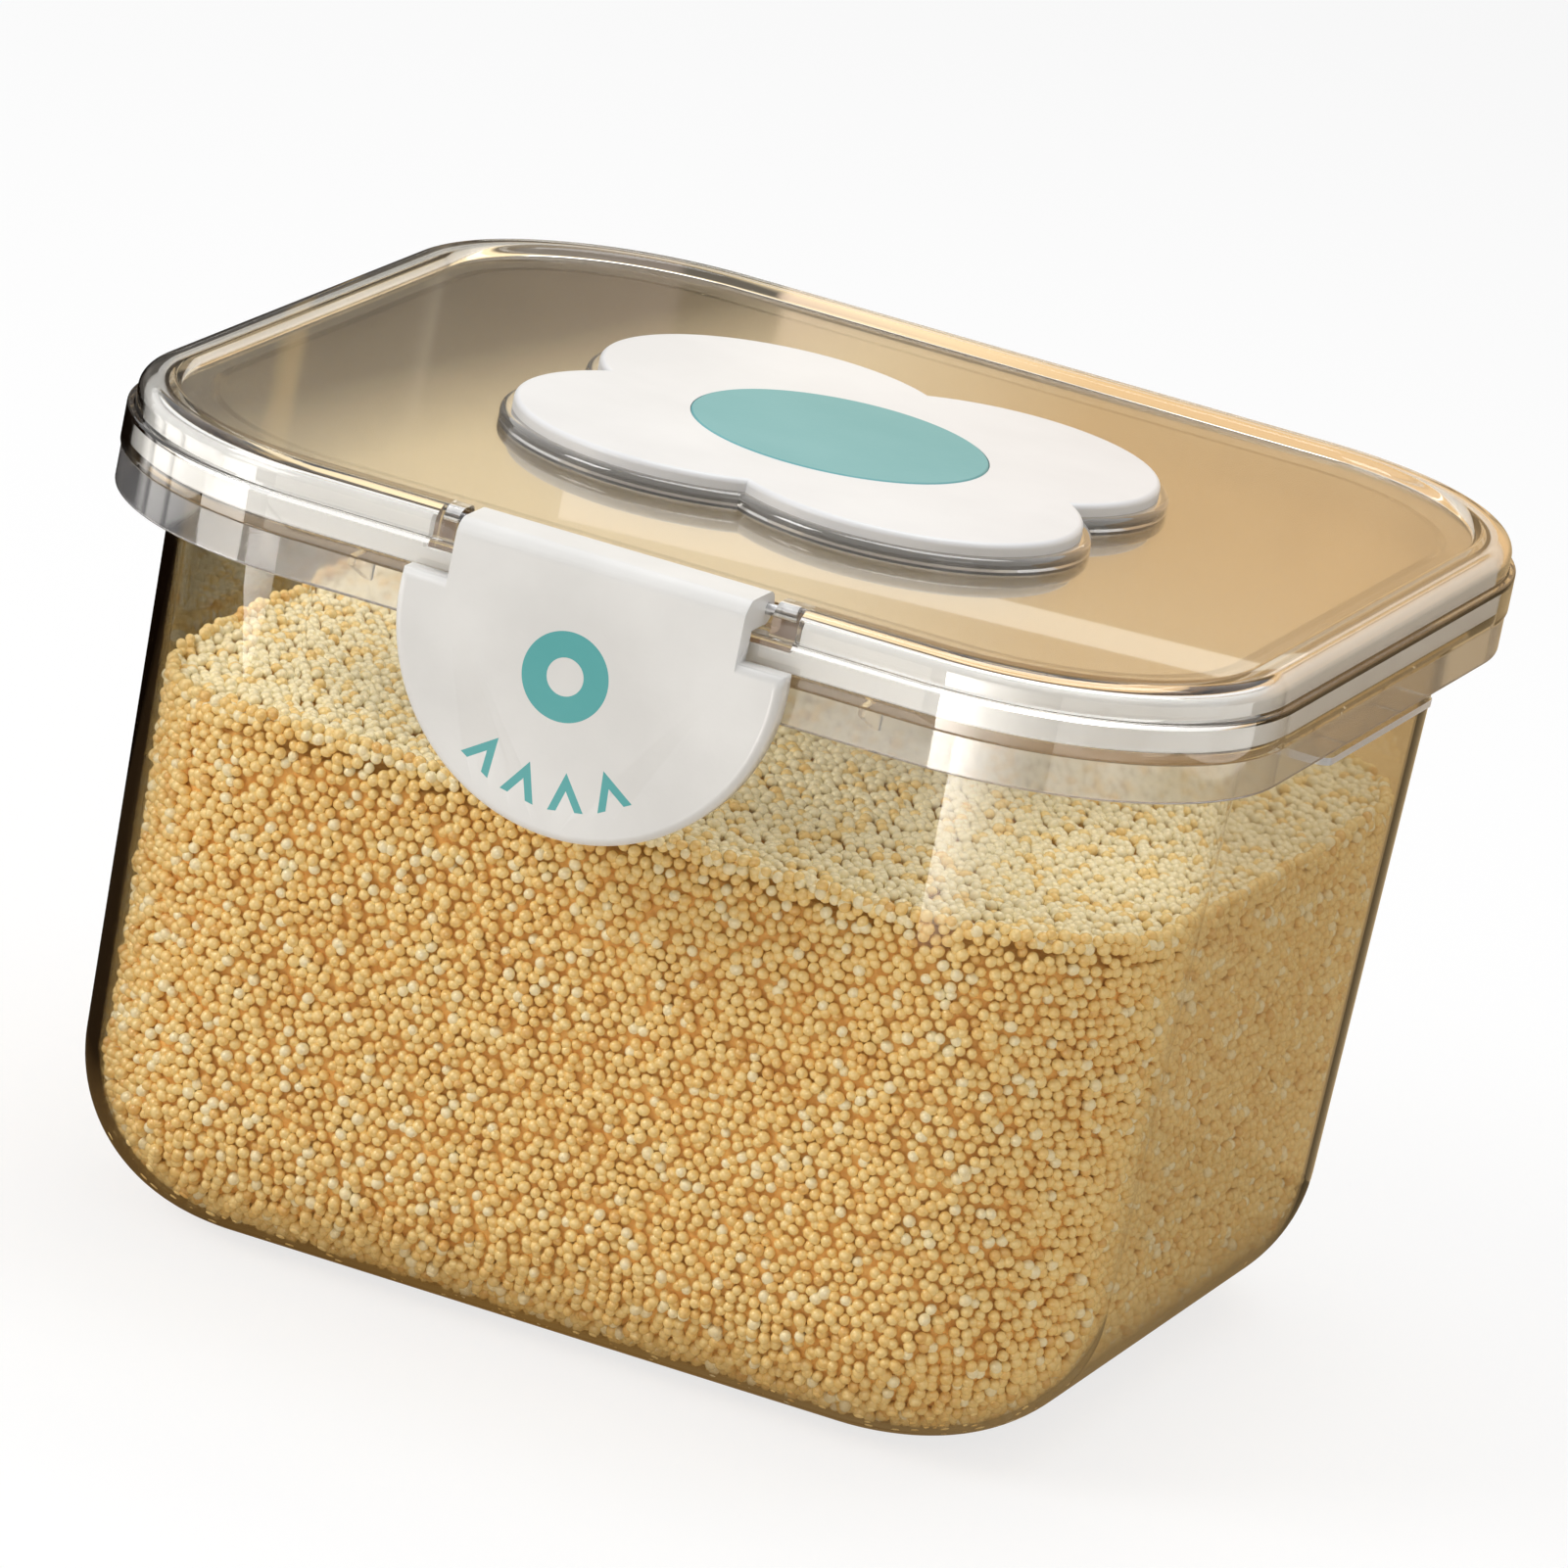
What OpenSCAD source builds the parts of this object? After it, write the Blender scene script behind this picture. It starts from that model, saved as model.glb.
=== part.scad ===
// Clear rice bin with a flip lid, a front latch and a flower badge on the lid.
// Origin: centre of the underside. +Z up, -Y is the front (latch side), +Y the hinge side.

/* [Tub] */
// Outside width of the tub wall at the rim
tub_w = 231; // [200:1:270]
// Outside depth of the tub wall at the rim
tub_d = 216; // [190:1:260]
// Height of the tub from its underside to the top of its rim
tub_h = 160; // [120:1:220]
// Outside corner radius of the tub wall at the rim
tub_corner_r = 48; // [44:1:60]
// How much each wall leans in from the rim to the underside
tub_draft = 4.5; // [2:0.5:7]
// Wall thickness of the tub
tub_wall = 2.6; // [2:0.1:3.5]
// Thickness of the tub floor
tub_floor = 5; // [3:0.5:8]
// Outside radius between the walls and the underside
base_r = 34; // [20:1:36]
// Thickness of the rim flange
rim_t = 2.5; // [2:0.1:3.5]
// Thickness of the gusset ribs under the rim flange
gusset_t = 1.5; // [1:0.1:2.5]
// Height of the gusset ribs under the rim flange
gusset_h = 7; // [4:0.5:9]
// Distance of the front and rear gusset ribs from the middle
gusset_x = 55; // [48:1:64]
// Distance between the side gusset ribs and the middle
gusset_y = 22; // [10:1:40]

/* [Side grips] */
// Length of the finger ledge on each side wall
grip_len = 68; // [40:1:90]
// Thickness of the finger ledge
grip_t = 1.6; // [1.2:0.1:2.5]
// Corner radius of the finger ledge
grip_corner_r = 3; // [1:0.5:5]

/* [Lid] */
// How far the lid skirt stands out past the tub wall at the sides
over_side = 9.5; // [9:0.5:14]
// How far the lid skirt stands out past the tub wall at the front and rear
over_front = 16; // [15.5:0.5:20]
// Outside corner radius of the lid
lid_corner_r = 57.5; // [54:0.5:62]
// Height of the lid ridge above the tub rim
lid_rise = 13; // [12.6:0.1:16]
// Height of the lid from the bottom of its skirt to the top of its ridge
lid_h = 23; // [22:0.5:24]
// Wall thickness of the lid skirt
lid_wall = 1.8; // [1.5:0.1:2.2]
// Thickness of the lid's top panel
panel_t = 2.2; // [1.8:0.1:2.6]
// How far the top panel lies below the ridge
panel_drop = 2; // [1:0.5:2.5]
// Width of the raised border between the skirt and the top panel
border_w = 10.3; // [9.5:0.1:11]
// Height of the clear lower part of the skirt below the band
skirt_clear_h = 8; // [6:0.5:9]
// Radius of the ridge's outer shoulder
shoulder_r = 3.4; // [2:0.2:4]
// Depth of the locating wall below the tub rim
plug_depth = 4; // [2:0.5:5]
// Thickness of the locating wall
plug_t = 2; // [1.5:0.1:3]

/* [Gasket] */
// Height of the gasket foot that presses on the tub rim
gasket_foot_h = 3.7; // [2.5:0.1:3.8]
// Room between the top of the gasket's crown and the hollow ridge above it
gasket_crown_room = 0.4; // [0.2:0.1:1.5]

/* [Latch] */
// Radius of the half-moon plate of the latch
latch_r = 41; // [36:0.5:46]
// Distance from the lid ridge down to the centre of the half-moon
latch_drop = 16; // [14:0.5:20]
// Distance from the lid ridge down to the ears of the half-moon
ear_drop = 12; // [10:0.5:13]
// Width of the block that reaches over the lid border
block_w = 62; // [50:1:70]
// Thickness of the half-moon plate
plate_t = 5.6; // [4.5:0.1:7]
// Wall thickness of the block
block_wall = 2.6; // [2:0.1:3]
// Radius of the block's front top edge
block_edge_r = 3.6; // [2:0.1:4]
// Rounding of the plate's front edge
plate_edge_r = 1.8; // [1:0.1:2.4]
// Width of the hook that snaps in front of the tub's catch
hook_w = 40; // [24:1:44]
// Height of the hook
hook_h = 3.5; // [2.5:0.1:4]
// Width of the catch under the front of the rim
catch_w = 52; // [30:1:60]
// Height of the catch under the rim flange
catch_h = 4; // [2:0.5:5]

/* [Pins] */
// Radius of the steel latch pin
latch_pin_r = 1.2; // [0.8:0.1:1.5]
// Length of the latch pin inside each cheek of the lid
latch_pin_grip = 4; // [2:0.5:4.5]
// Radius of the steel hinge pins
hinge_pin_r = 1.5; // [1:0.1:1.9]
// How far each rear hinge lies inside the start of the tub's corner
hinge_inset = 12; // [11:1:24]
// Width of the lid's hinge knuckle
knuckle_w = 15.4; // [10:0.2:22]
// Width of each hinge lug on the tub
lug_w = 6; // [4:0.5:8]
// Outside radius of the hinge knuckles and lugs
knuckle_r = 4.2; // [3.6:0.1:4.5]

/* [Flower badge] */
// Radius of each petal
petal_r = 37; // [32:0.5:40]
// Distance from the flower's centre to the centre of a petal
petal_reach = 33; // [30:0.5:35]
// Height of the clear boss above the top panel
boss_h = 3.2; // [2.4:0.1:4]
// How far the clear boss stands out past the white petals
boss_margin = 2.4; // [1.4:0.1:3]
// Height of the white flower above the clear boss
cover_h = 2.6; // [2:0.1:3.5]
// Rounding of the white flower's top edge
cover_edge_r = 1.2; // [0.6:0.1:1.6]
// Radius of the round inlay
inlay_r = 31; // [20:0.5:36]
// Thickness of the round inlay
inlay_t = 1.2; // [0.8:0.1:1.6]
// How far the flower lies in front of the lid's middle
flower_shift = 1.5; // [0:0.5:4]

/* [Clearances] */
// Gap between the gasket and the tub rim
seal_gap = 0.3; // [0.2:0.05:0.5]
// Gap between the rim flange and the lid skirt
skirt_gap = 1; // [0.8:0.1:1.4]
// Gap between the locating wall and the inside of the tub
plug_gap = 1.5; // [1.2:0.1:2.5]
// Gap between the finger ledges or the hinge lugs and the bottom of the skirt
ledge_gap = 0.6; // [0.4:0.1:1]
// Gap between the latch and the lid around it
latch_gap = 0.4; // [0.3:0.05:0.6]
// Gap between each end of the latch block and the lid border
block_side_gap = 3; // [1:0.5:4]
// Gap between the hook and the catch
hook_gap = 0.3; // [0.2:0.05:0.5]
// Gap between the lid knuckles and the tub lugs
lug_gap = 0.3; // [0.2:0.05:0.5]
// Radial running clearance of a turning part on its pin
run_fit = 0.06; // [0.02:0.01:0.1]
// Radial clearance of a pin in the bore that holds it
hold_fit = 0.01; // [0.01:0.01:0.03]
// Gap around the white flower and around the round inlay
inlay_gap = 0.15; // [0.1:0.05:0.3]

/* [Hidden] */
$fn = 96;
arc_steps = 12;
eps = 0.01;

// Heights
lid_top = tub_h + lid_rise;
skirt_z = lid_top - lid_h;
band_z = skirt_z + skirt_clear_h;
panel_z = lid_top - panel_drop;
panel_under = panel_z - panel_t;
ridge_t = 2.4;
step_drop = 6.4;
ridge_under = lid_top - ridge_t;
gasket_z = tub_h + seal_gap;

// Straight part of each rounded outline, from the middle to the start of the corner
tub_x = tub_w / 2 - tub_corner_r;
tub_y = tub_d / 2 - tub_corner_r;
lid_x = tub_w / 2 + over_side - lid_corner_r;
lid_y = tub_d / 2 + over_front - lid_corner_r;

// Tub wall
lean = atan(tub_draft / tub_h);
function wall_r(z) = tub_corner_r - (tub_h - z) * tan(lean);
base_arc_r = wall_r(base_r) - base_r / cos(lean);
inner_base_r = base_r - tub_floor / 2;
inner_arc_r = wall_r(tub_floor + inner_base_r) - (tub_wall + inner_base_r) / cos(lean);
rim_under = tub_h - rim_t;

// Lid walls, as distances from the corner centres
band_step = 0.4;
join = 0.5;
skirt_r = lid_corner_r - band_step;
skirt_in_r = skirt_r - lid_wall;
ridge_step = 1.6;
ridge_r = lid_corner_r - ridge_step;
step_z = lid_top - step_drop;
step_rise = 0.5;
slope_top = step_z - 0.6;
slope_low = slope_top - 1;
panel_r = lid_corner_r - border_w;
rib_t = 1.8;
rib_r = panel_r + 1;
rib_stop = 1.2;
rib_z = gasket_z + rib_stop;
rim_r = skirt_in_r - skirt_gap;
ridge_in_r = skirt_in_r - ridge_step;
rib_chamfer = 1;
ridge_chamfer = 1.5;
weld = 0.6;
plug_r = wall_r(tub_h) - tub_wall - plug_gap;

// Latch pivot and the notch that holds it
barrel_r = 3.4;
front_y = lid_y + lid_corner_r;
pivot_y = -(lid_y + panel_r + barrel_r + latch_gap);
pivot_drop = 2.6;
pivot_z = lid_top - pivot_drop;
latch_back_y = -(front_y + latch_gap);
latch_front_y = latch_back_y - plate_t;
notch_half = block_w / 2 + block_side_gap;
cheek_t = latch_pin_grip + 1;
notch_floor = pivot_z - barrel_r - latch_gap;
notch_floor_t = 2.2;
latch_centre_z = lid_top - latch_drop;
ear_z = lid_top - ear_drop;
hook_drop = 2.5;
hook_top = rim_under - hook_drop;
hook_chamfer = 0.6;
window_drop = 0.5;
window_top = rim_under - window_drop;
window_side_gap = 4;

// Rear hinge
hinge_x = tub_x - hinge_inset;
hinge_reach = 5.5;
hinge_y = front_y + hinge_reach;
hinge_z = skirt_z + 2;
lug_top = skirt_z - ledge_gap;
lug_drop = 15;
lug_foot = 0.6;
knuckle_rise = 15;
knuckle_flat = 0.2;

// Flower
petal_at = petal_reach / sqrt(2);
boss_top = panel_z + boss_h;
seat_depth = 0.6;
cover_top = boss_top + cover_h;
boss_edge_r = 1.4;
inlay_proud = 0.2;

// Points of a quarter arc about (cx, cy) from angle a0 to a1
function arc(cx, cy, r, a0, a1) = [
    for (i = [0:arc_steps])
        let (a = a0 + (a1 - a0) * i / arc_steps) [cx + r * cos(a), cy + r * sin(a)]
];

// Exact rounded rectangle whose corner centres lie at half_x, half_y
module rounded(half_x, half_y, r) {
    square([2 * half_x, 2 * (half_y + r)], center = true);
    square([2 * (half_x + r), 2 * half_y], center = true);
    for (x = [-half_x, half_x], y = [-half_y, half_y])
        translate([x, y]) circle(r);
}

// Sweeps a profile of (distance from corner centre, height) round a rounded rectangle
module sweep_round(half_x, half_y) {
    corners = [[half_x, half_y], [-half_x, half_y], [-half_x, -half_y], [half_x, -half_y]];
    for (k = [0:3])
        translate([corners[k].x, corners[k].y, 0])
            rotate([0, 0, 90 * k]) rotate_extrude(angle = 90) children();
    for (k = [0:3]) {
        out = k % 2 == 0 ? half_x : half_y;
        along = k % 2 == 0 ? half_y : half_x;
        rotate([0, 0, 90 * k]) translate([out, 0, 0])
            rotate([90, 0, 0]) linear_extrude(2 * along, center = true) children();
    }
}

// Extrudes a profile of (depth, height) across the width, from x0 to x1
module across(x0, x1) {
    translate([x0, 0, 0]) rotate([90, 0, 90]) linear_extrude(x1 - x0) children();
}

// Four overlapping petals
module petals(r) {
    for (x = [-petal_at, petal_at], y = [-petal_at, petal_at])
        translate([x, y]) circle(r);
}

// Four overlapping petals with a rounded top edge
module soft_petals(r, h, edge) {
    for (x = [-petal_at, petal_at], y = [-petal_at, petal_at])
        translate([x, y, 0]) rotate_extrude()
            polygon(concat([[0, 0], [r, 0]], arc(r - edge, h - edge, edge, 0, 90), [[0, h]]));
}

// Section of the tub wall and floor
module tub_section() {
    polygon(concat(
        [[0, 0]],
        arc(base_arc_r, base_r, base_r, -90, -lean),
        [[wall_r(tub_h), tub_h], [wall_r(tub_h) - tub_wall / cos(lean), tub_h]],
        arc(inner_arc_r, tub_floor + inner_base_r, inner_base_r, -lean, -90),
        [[0, tub_floor]]
    ));
}

module rim_flange() {
    translate([0, 0, rim_under]) linear_extrude(rim_t) difference() {
        rounded(lid_x, lid_y, rim_r);
        rounded(tub_x, tub_y, wall_r(rim_under) - tub_wall / 2);
    }
}

// Triangular rib between the wall and the underside of the rim flange
module gusset(half, reach) {
    foot = half + wall_r(rim_under - gusset_h) - tub_wall / 2;
    tip = reach - 1.5;
    translate([0, gusset_t / 2, 0]) rotate([90, 0, 0]) linear_extrude(gusset_t)
        polygon([[foot, rim_under - gusset_h], [foot + tub_wall / 2 + 1, rim_under - gusset_h],
                 [tip, rim_under - 2], [tip, rim_under + join], [foot, rim_under + join]]);
}

module gussets() {
    for (side = [0, 180], y = [-gusset_y, gusset_y])
        rotate([0, 0, side]) translate([0, y, 0]) gusset(tub_x, lid_x + rim_r);
    for (side = [-90, 90], x = [-gusset_x, gusset_x])
        rotate([0, 0, side]) translate([0, x, 0]) gusset(tub_y, lid_y + rim_r);
}

// Lip under the front of the rim that the latch hook snaps past
module latch_catch() {
    catch_t = 2.4;
    translate([-catch_w / 2, -(lid_y + rim_r), rim_under - catch_h])
        cube([catch_w, catch_t, catch_h + join]);
}

// Finger ledge on each side wall with two ribs under it
module side_grip() {
    top = skirt_z - ledge_gap;
    root = tub_x + wall_r(top - grip_t) - tub_wall / 2;
    tip = tub_w / 2 + over_side;
    ledge = tip - root;
    translate([0, 0, top - grip_t]) linear_extrude(grip_t) {
        translate([root, -grip_len / 2]) square([ledge - grip_corner_r, grip_len]);
        translate([root, -grip_len / 2 + grip_corner_r])
            square([ledge, grip_len - 2 * grip_corner_r]);
        for (y = [-1, 1])
            translate([tip - grip_corner_r, y * (grip_len / 2 - grip_corner_r)])
                circle(grip_corner_r);
    }
    rib_h = 6;
    for (y = [-grip_len / 4, grip_len / 4])
        translate([0, y + gusset_t / 2, 0]) rotate([90, 0, 0]) linear_extrude(gusset_t)
            polygon([[root, top - join], [tip - 2, top - join],
                     [root + tub_wall / 2, top - grip_t - rib_h], [root, top - grip_t - rib_h]]);
}

// One hinge lug with a web down the rear wall
module hinge_lug(x0) {
    root = tub_y + wall_r(lug_top - lug_drop) - tub_wall / 2;
    across(x0, x0 + lug_w) {
        polygon([[root, lug_top - lug_drop], [root, lug_top], [hinge_y, lug_top],
                 [hinge_y, hinge_z - knuckle_r + knuckle_flat],
                 [hinge_y - 3, hinge_z - knuckle_r - lug_foot]]);
        translate([hinge_y, hinge_z]) circle(knuckle_r);
    }
}

module bin_body() {
    color([0.93, 0.92, 0.88, 0.35]) difference() {
        union() {
            sweep_round(tub_x, tub_y) tub_section();
            translate([-tub_x, -tub_y, 0]) cube([2 * tub_x, 2 * tub_y, tub_floor]);
            rim_flange();
            gussets();
            latch_catch();
            for (side = [0, 180])
                rotate([0, 0, side]) side_grip();
            for (x = [-hinge_x, hinge_x], s = [-1, 1])
                hinge_lug(x + s * (knuckle_w / 2 + lug_gap + lug_w / 2) - lug_w / 2);
        }
        for (x = [-hinge_x, hinge_x])
            translate([x, hinge_y, hinge_z]) rotate([0, 90, 0])
                cylinder(h = knuckle_w + 2 * lug_gap + 2 * lug_w + 2, r = hinge_pin_r + hold_fit,
                         center = true);
    }
}

// Outer contour of the lid from the bottom of the skirt to the edge of the panel
function lid_contour() = concat(
    [[skirt_r, skirt_z], [skirt_r, band_z], [lid_corner_r, band_z + band_step],
     [lid_corner_r, step_z], [ridge_r, step_z + step_rise]],
    arc(ridge_r - shoulder_r, lid_top - shoulder_r, shoulder_r, 0, 90),
    arc(panel_r + panel_drop, lid_top - panel_drop, panel_drop, 90, 180)
);

// Section of the lid: panel, hollow ridge, skirt and the rib that holds the gasket
module lid_section() {
    polygon(concat(
        lid_contour(),
        [[0, panel_z], [0, panel_under], [rib_r, panel_under], [rib_r, rib_z],
         [rib_r + rib_t, rib_z], [rib_r + rib_t, ridge_under - rib_chamfer],
         [rib_r + rib_t + rib_chamfer, ridge_under],
         [ridge_in_r - ridge_chamfer, ridge_under],
         [ridge_in_r, ridge_under - ridge_chamfer], [ridge_in_r, slope_top],
         [skirt_in_r, slope_low], [skirt_in_r, skirt_z]]
    ));
}

// Solid cross-section of the border, used for the cheeks beside the latch
module cheek_section() {
    polygon(concat(
        [[skirt_in_r + weld, notch_floor - notch_floor_t], [skirt_in_r + weld, step_z]],
        arc(ridge_r - shoulder_r, lid_top - shoulder_r, shoulder_r, 0, 90),
        arc(panel_r + panel_drop, lid_top - panel_drop, panel_drop, 90, 180),
        [[panel_r - panel_t, panel_z], [panel_r - panel_t, notch_floor - notch_floor_t]]
    ));
}

// Closed tray and cheeks that carry the latch pin in the front border
module latch_pocket() {
    width = 2 * (notch_half + cheek_t);
    translate([0, -lid_y, 0]) rotate([0, 0, 180]) {
        across(-width / 2, width / 2) {
            polygon([[panel_r - panel_t, notch_floor - notch_floor_t],
                     [skirt_in_r + weld, notch_floor - notch_floor_t],
                     [skirt_in_r + weld, notch_floor], [panel_r, notch_floor],
                     [panel_r, panel_z], [panel_r - panel_t, panel_z]]);
        }
        for (x0 = [-width / 2, notch_half])
            across(x0, x0 + cheek_t) cheek_section();
    }
}

// Wall that locates the lid inside the tub
module lid_plug() {
    plug_z = tub_h - plug_depth;
    translate([0, 0, plug_z]) linear_extrude(panel_under - plug_z + join) difference() {
        rounded(tub_x, tub_y, plug_r);
        rounded(tub_x, tub_y, plug_r - plug_t);
    }
}

// One hinge knuckle with its web on the rear of the skirt
module lid_knuckle(x) {
    root = lid_y + skirt_in_r + weld;
    across(x - knuckle_w / 2, x + knuckle_w / 2) {
        polygon([[root, skirt_z + 1], [root, skirt_z + knuckle_rise],
                 [hinge_y, hinge_z + knuckle_r - knuckle_flat],
                 [hinge_y, hinge_z - 1]]);
        translate([hinge_y, hinge_z]) circle(knuckle_r);
    }
}

module flower_boss() {
    translate([0, -flower_shift, panel_z - join])
        soft_petals(petal_r + boss_margin, boss_h + join, boss_edge_r);
}

module lid() {
    color([0.94, 0.94, 0.92, 0.35]) difference() {
        union() {
            sweep_round(lid_x, lid_y) lid_section();
            translate([-lid_x, -lid_y, panel_under]) cube([2 * lid_x, 2 * lid_y, panel_t]);
            latch_pocket();
            lid_plug();
            flower_boss();
            for (x = [-hinge_x, hinge_x])
                lid_knuckle(x);
        }
        // Hollow under the flower boss and the seat of the white flower
        translate([0, -flower_shift, panel_under - eps])
            linear_extrude(boss_top - seat_depth - lid_wall - panel_under)
                petals(petal_r + boss_margin - lid_wall);
        translate([0, -flower_shift, boss_top - seat_depth])
            linear_extrude(seat_depth + eps) petals(petal_r + inlay_gap);
        // Notch for the latch block
        translate([-notch_half, -front_y - 1, notch_floor])
            cube([2 * notch_half, front_y + 1 - lid_y - panel_r, lid_top]);
        // Window in the skirt that the hook passes through
        window_w = hook_w + 2 * window_side_gap;
        translate([-window_w / 2, -front_y - 1, skirt_z - 1])
            cube([window_w, front_y + 1 - lid_y - rim_r, window_top - skirt_z + 1]);
        translate([0, pivot_y, pivot_z]) rotate([0, 90, 0])
            cylinder(h = 2 * (notch_half + latch_pin_grip), r = latch_pin_r + hold_fit,
                     center = true);
        for (x = [-hinge_x, hinge_x])
            translate([x, hinge_y, hinge_z]) rotate([0, 90, 0])
                cylinder(h = knuckle_w + 2, r = hinge_pin_r + run_fit, center = true);
    }
}

module lid_gasket() {
    inside = rib_r + rib_t;
    foot_top = gasket_z + gasket_foot_h;
    crown_top = ridge_under - gasket_crown_room;
    crown_cut = notch_half + cheek_t + 1;
    color([0.96, 0.96, 0.94]) difference() {
        sweep_round(lid_x, lid_y)
            polygon([[inside, gasket_z], [skirt_in_r, gasket_z], [skirt_in_r, slope_low],
                 [ridge_in_r, slope_top], [ridge_in_r, crown_top - ridge_chamfer],
                 [ridge_in_r - ridge_chamfer, crown_top], [inside + rib_chamfer, crown_top],
                 [inside, crown_top - rib_chamfer]]);
        translate([-crown_cut, -front_y, foot_top])
            cube([2 * crown_cut, front_y, lid_rise]);
    }
}

// Half-moon plate with a rounded front edge and flat ears
module latch_plate() {
    intersection() {
        translate([0, latch_back_y, latch_centre_z]) rotate([90, 0, 0]) rotate_extrude()
            polygon(concat([[0, 0], [latch_r, 0]],
                           arc(latch_r - plate_edge_r, plate_t - plate_edge_r, plate_edge_r, 0, 90),
                           [[0, plate_t]]));
        across(-latch_r, latch_r)
            polygon(concat([[latch_back_y, latch_centre_z - latch_r], [latch_back_y, ear_z]],
                           arc(latch_front_y + plate_edge_r, ear_z - plate_edge_r, plate_edge_r,
                               90, 180),
                           [[latch_front_y, latch_centre_z - latch_r]]));
    }
}

// Thin-walled block that reaches back over the lid border to the pin
module latch_block() {
    top = pivot_z + barrel_r;
    half = block_w / 2;
    inner_r = block_edge_r - block_wall / 2;
    across(-half, half)
        polygon(concat(
            [[latch_front_y, latch_centre_z]],
            arc(latch_front_y + block_edge_r, top - block_edge_r, block_edge_r, 180, 90),
            [[pivot_y, top], [pivot_y, top - block_wall]],
            arc(latch_front_y + block_wall + inner_r, top - block_wall - inner_r, inner_r, 90, 180),
            [[latch_front_y + block_wall, latch_centre_z]]
        ));
    for (x0 = [-half, -half / 3 - block_wall / 2, half / 3 - block_wall / 2, half - block_wall])
        across(x0, x0 + block_wall)
            polygon([[latch_front_y + 1, ear_z - plate_edge_r], [latch_front_y + 1, top - block_edge_r],
                     [latch_front_y + block_edge_r, top - 1], [pivot_y, top - 1],
                     [pivot_y, pivot_z - barrel_r + 0.1], [latch_back_y, pivot_z - barrel_r + 0.1],
                     [latch_back_y, ear_z - plate_edge_r]]);
    across(-half, half)
        translate([pivot_y, pivot_z]) circle(barrel_r);
}

// Rib on the back of the plate that snaps in front of the catch
module latch_hook() {
    tip = -(lid_y + rim_r + hook_gap);
    low = hook_top - hook_h;
    across(-hook_w / 2, hook_w / 2)
        polygon([[latch_back_y - join, low], [tip - 1, low], [tip, low + 1], [tip, hook_top - hook_chamfer],
                 [tip - hook_chamfer, hook_top], [latch_back_y - join, hook_top]]);
}

module latch() {
    color([0.96, 0.95, 0.94]) difference() {
        union() {
            latch_plate();
            latch_block();
            latch_hook();
        }
        translate([0, pivot_y, pivot_z]) rotate([0, 90, 0])
            cylinder(h = block_w + 2, r = latch_pin_r + run_fit, center = true);
    }
}

module latch_pin() {
    color("silver") translate([0, pivot_y, pivot_z]) rotate([0, 90, 0])
        cylinder(h = 2 * (notch_half + latch_pin_grip) - 0.4, r = latch_pin_r, center = true);
}

module hinge_pin(x) {
    color("silver") translate([x, hinge_y, hinge_z]) rotate([0, 90, 0])
        cylinder(h = knuckle_w + 2 * lug_gap + 2 * lug_w, r = hinge_pin_r, center = true);
}

module hinge_pin_left() {
    hinge_pin(-hinge_x);
}

module hinge_pin_right() {
    hinge_pin(hinge_x);
}

module flower_cover() {
    seat = boss_top - seat_depth;
    color([0.97, 0.96, 0.95]) difference() {
        translate([0, -flower_shift, seat])
            soft_petals(petal_r, cover_top - seat, cover_edge_r);
        translate([0, -flower_shift, cover_top - inlay_t + inlay_proud])
            cylinder(h = inlay_t, r = inlay_r + inlay_gap);
    }
}

module flower_inlay() {
    chamfer = 0.3;
    color([0.45, 0.72, 0.7]) translate([0, -flower_shift, cover_top - inlay_t + inlay_proud])
        rotate_extrude()
            polygon([[0, 0], [inlay_r, 0], [inlay_r, inlay_t - chamfer],
                     [inlay_r - chamfer, inlay_t], [0, inlay_t]]);
}

bin_body();
lid();
lid_gasket();
latch();
latch_pin();
hinge_pin_left();
hinge_pin_right();
flower_cover();
flower_inlay();
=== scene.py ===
"""Looks of the clear rice bin: plastics, millet filling, inlaid latch marks, studio and camera."""

import math

import bmesh
import bpy
import numpy as np
from mathutils import Matrix, Vector


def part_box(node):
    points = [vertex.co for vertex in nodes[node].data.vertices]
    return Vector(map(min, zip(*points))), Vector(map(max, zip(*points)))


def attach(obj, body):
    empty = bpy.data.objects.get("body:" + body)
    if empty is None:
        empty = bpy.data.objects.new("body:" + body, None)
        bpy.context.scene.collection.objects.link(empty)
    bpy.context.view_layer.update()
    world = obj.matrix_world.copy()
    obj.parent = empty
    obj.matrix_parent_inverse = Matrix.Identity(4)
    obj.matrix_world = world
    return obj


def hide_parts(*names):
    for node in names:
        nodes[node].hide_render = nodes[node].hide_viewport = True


MM = 0.001
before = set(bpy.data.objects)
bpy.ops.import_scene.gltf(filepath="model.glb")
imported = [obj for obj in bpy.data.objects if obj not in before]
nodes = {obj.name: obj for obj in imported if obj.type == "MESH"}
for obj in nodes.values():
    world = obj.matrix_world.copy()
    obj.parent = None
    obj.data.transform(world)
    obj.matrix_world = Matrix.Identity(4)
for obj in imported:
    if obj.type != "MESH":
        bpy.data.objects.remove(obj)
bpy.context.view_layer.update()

# ---------------------------------------------------------------- sizes of the part, in mm
# Tub: rounded rectangles about the corner centres TUB_X, TUB_Y, widening by TUB_DRAFT up to the rim.
TUB_X, TUB_Y = 67.5, 60.0
TUB_H, TUB_CORNER, TUB_DRAFT = 160.0, 48.0, 4.5
TUB_WALL, TUB_FLOOR, BASE_R = 2.6, 5.0, 34.0
LEAN = math.atan(TUB_DRAFT / TUB_H)
# The inside corners have centres nearer the middle by this and a radius larger by as much: concentric
# corners show a black upright line, by total reflection.
INNER_SHIFT = 0.8
INNER_R = BASE_R - TUB_WALL + INNER_SHIFT
RIM_R, RIM_UNDER, RIM_SOFT, LIP_SOFT = 54.3, 157.5, 0.5, 0.7

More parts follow.
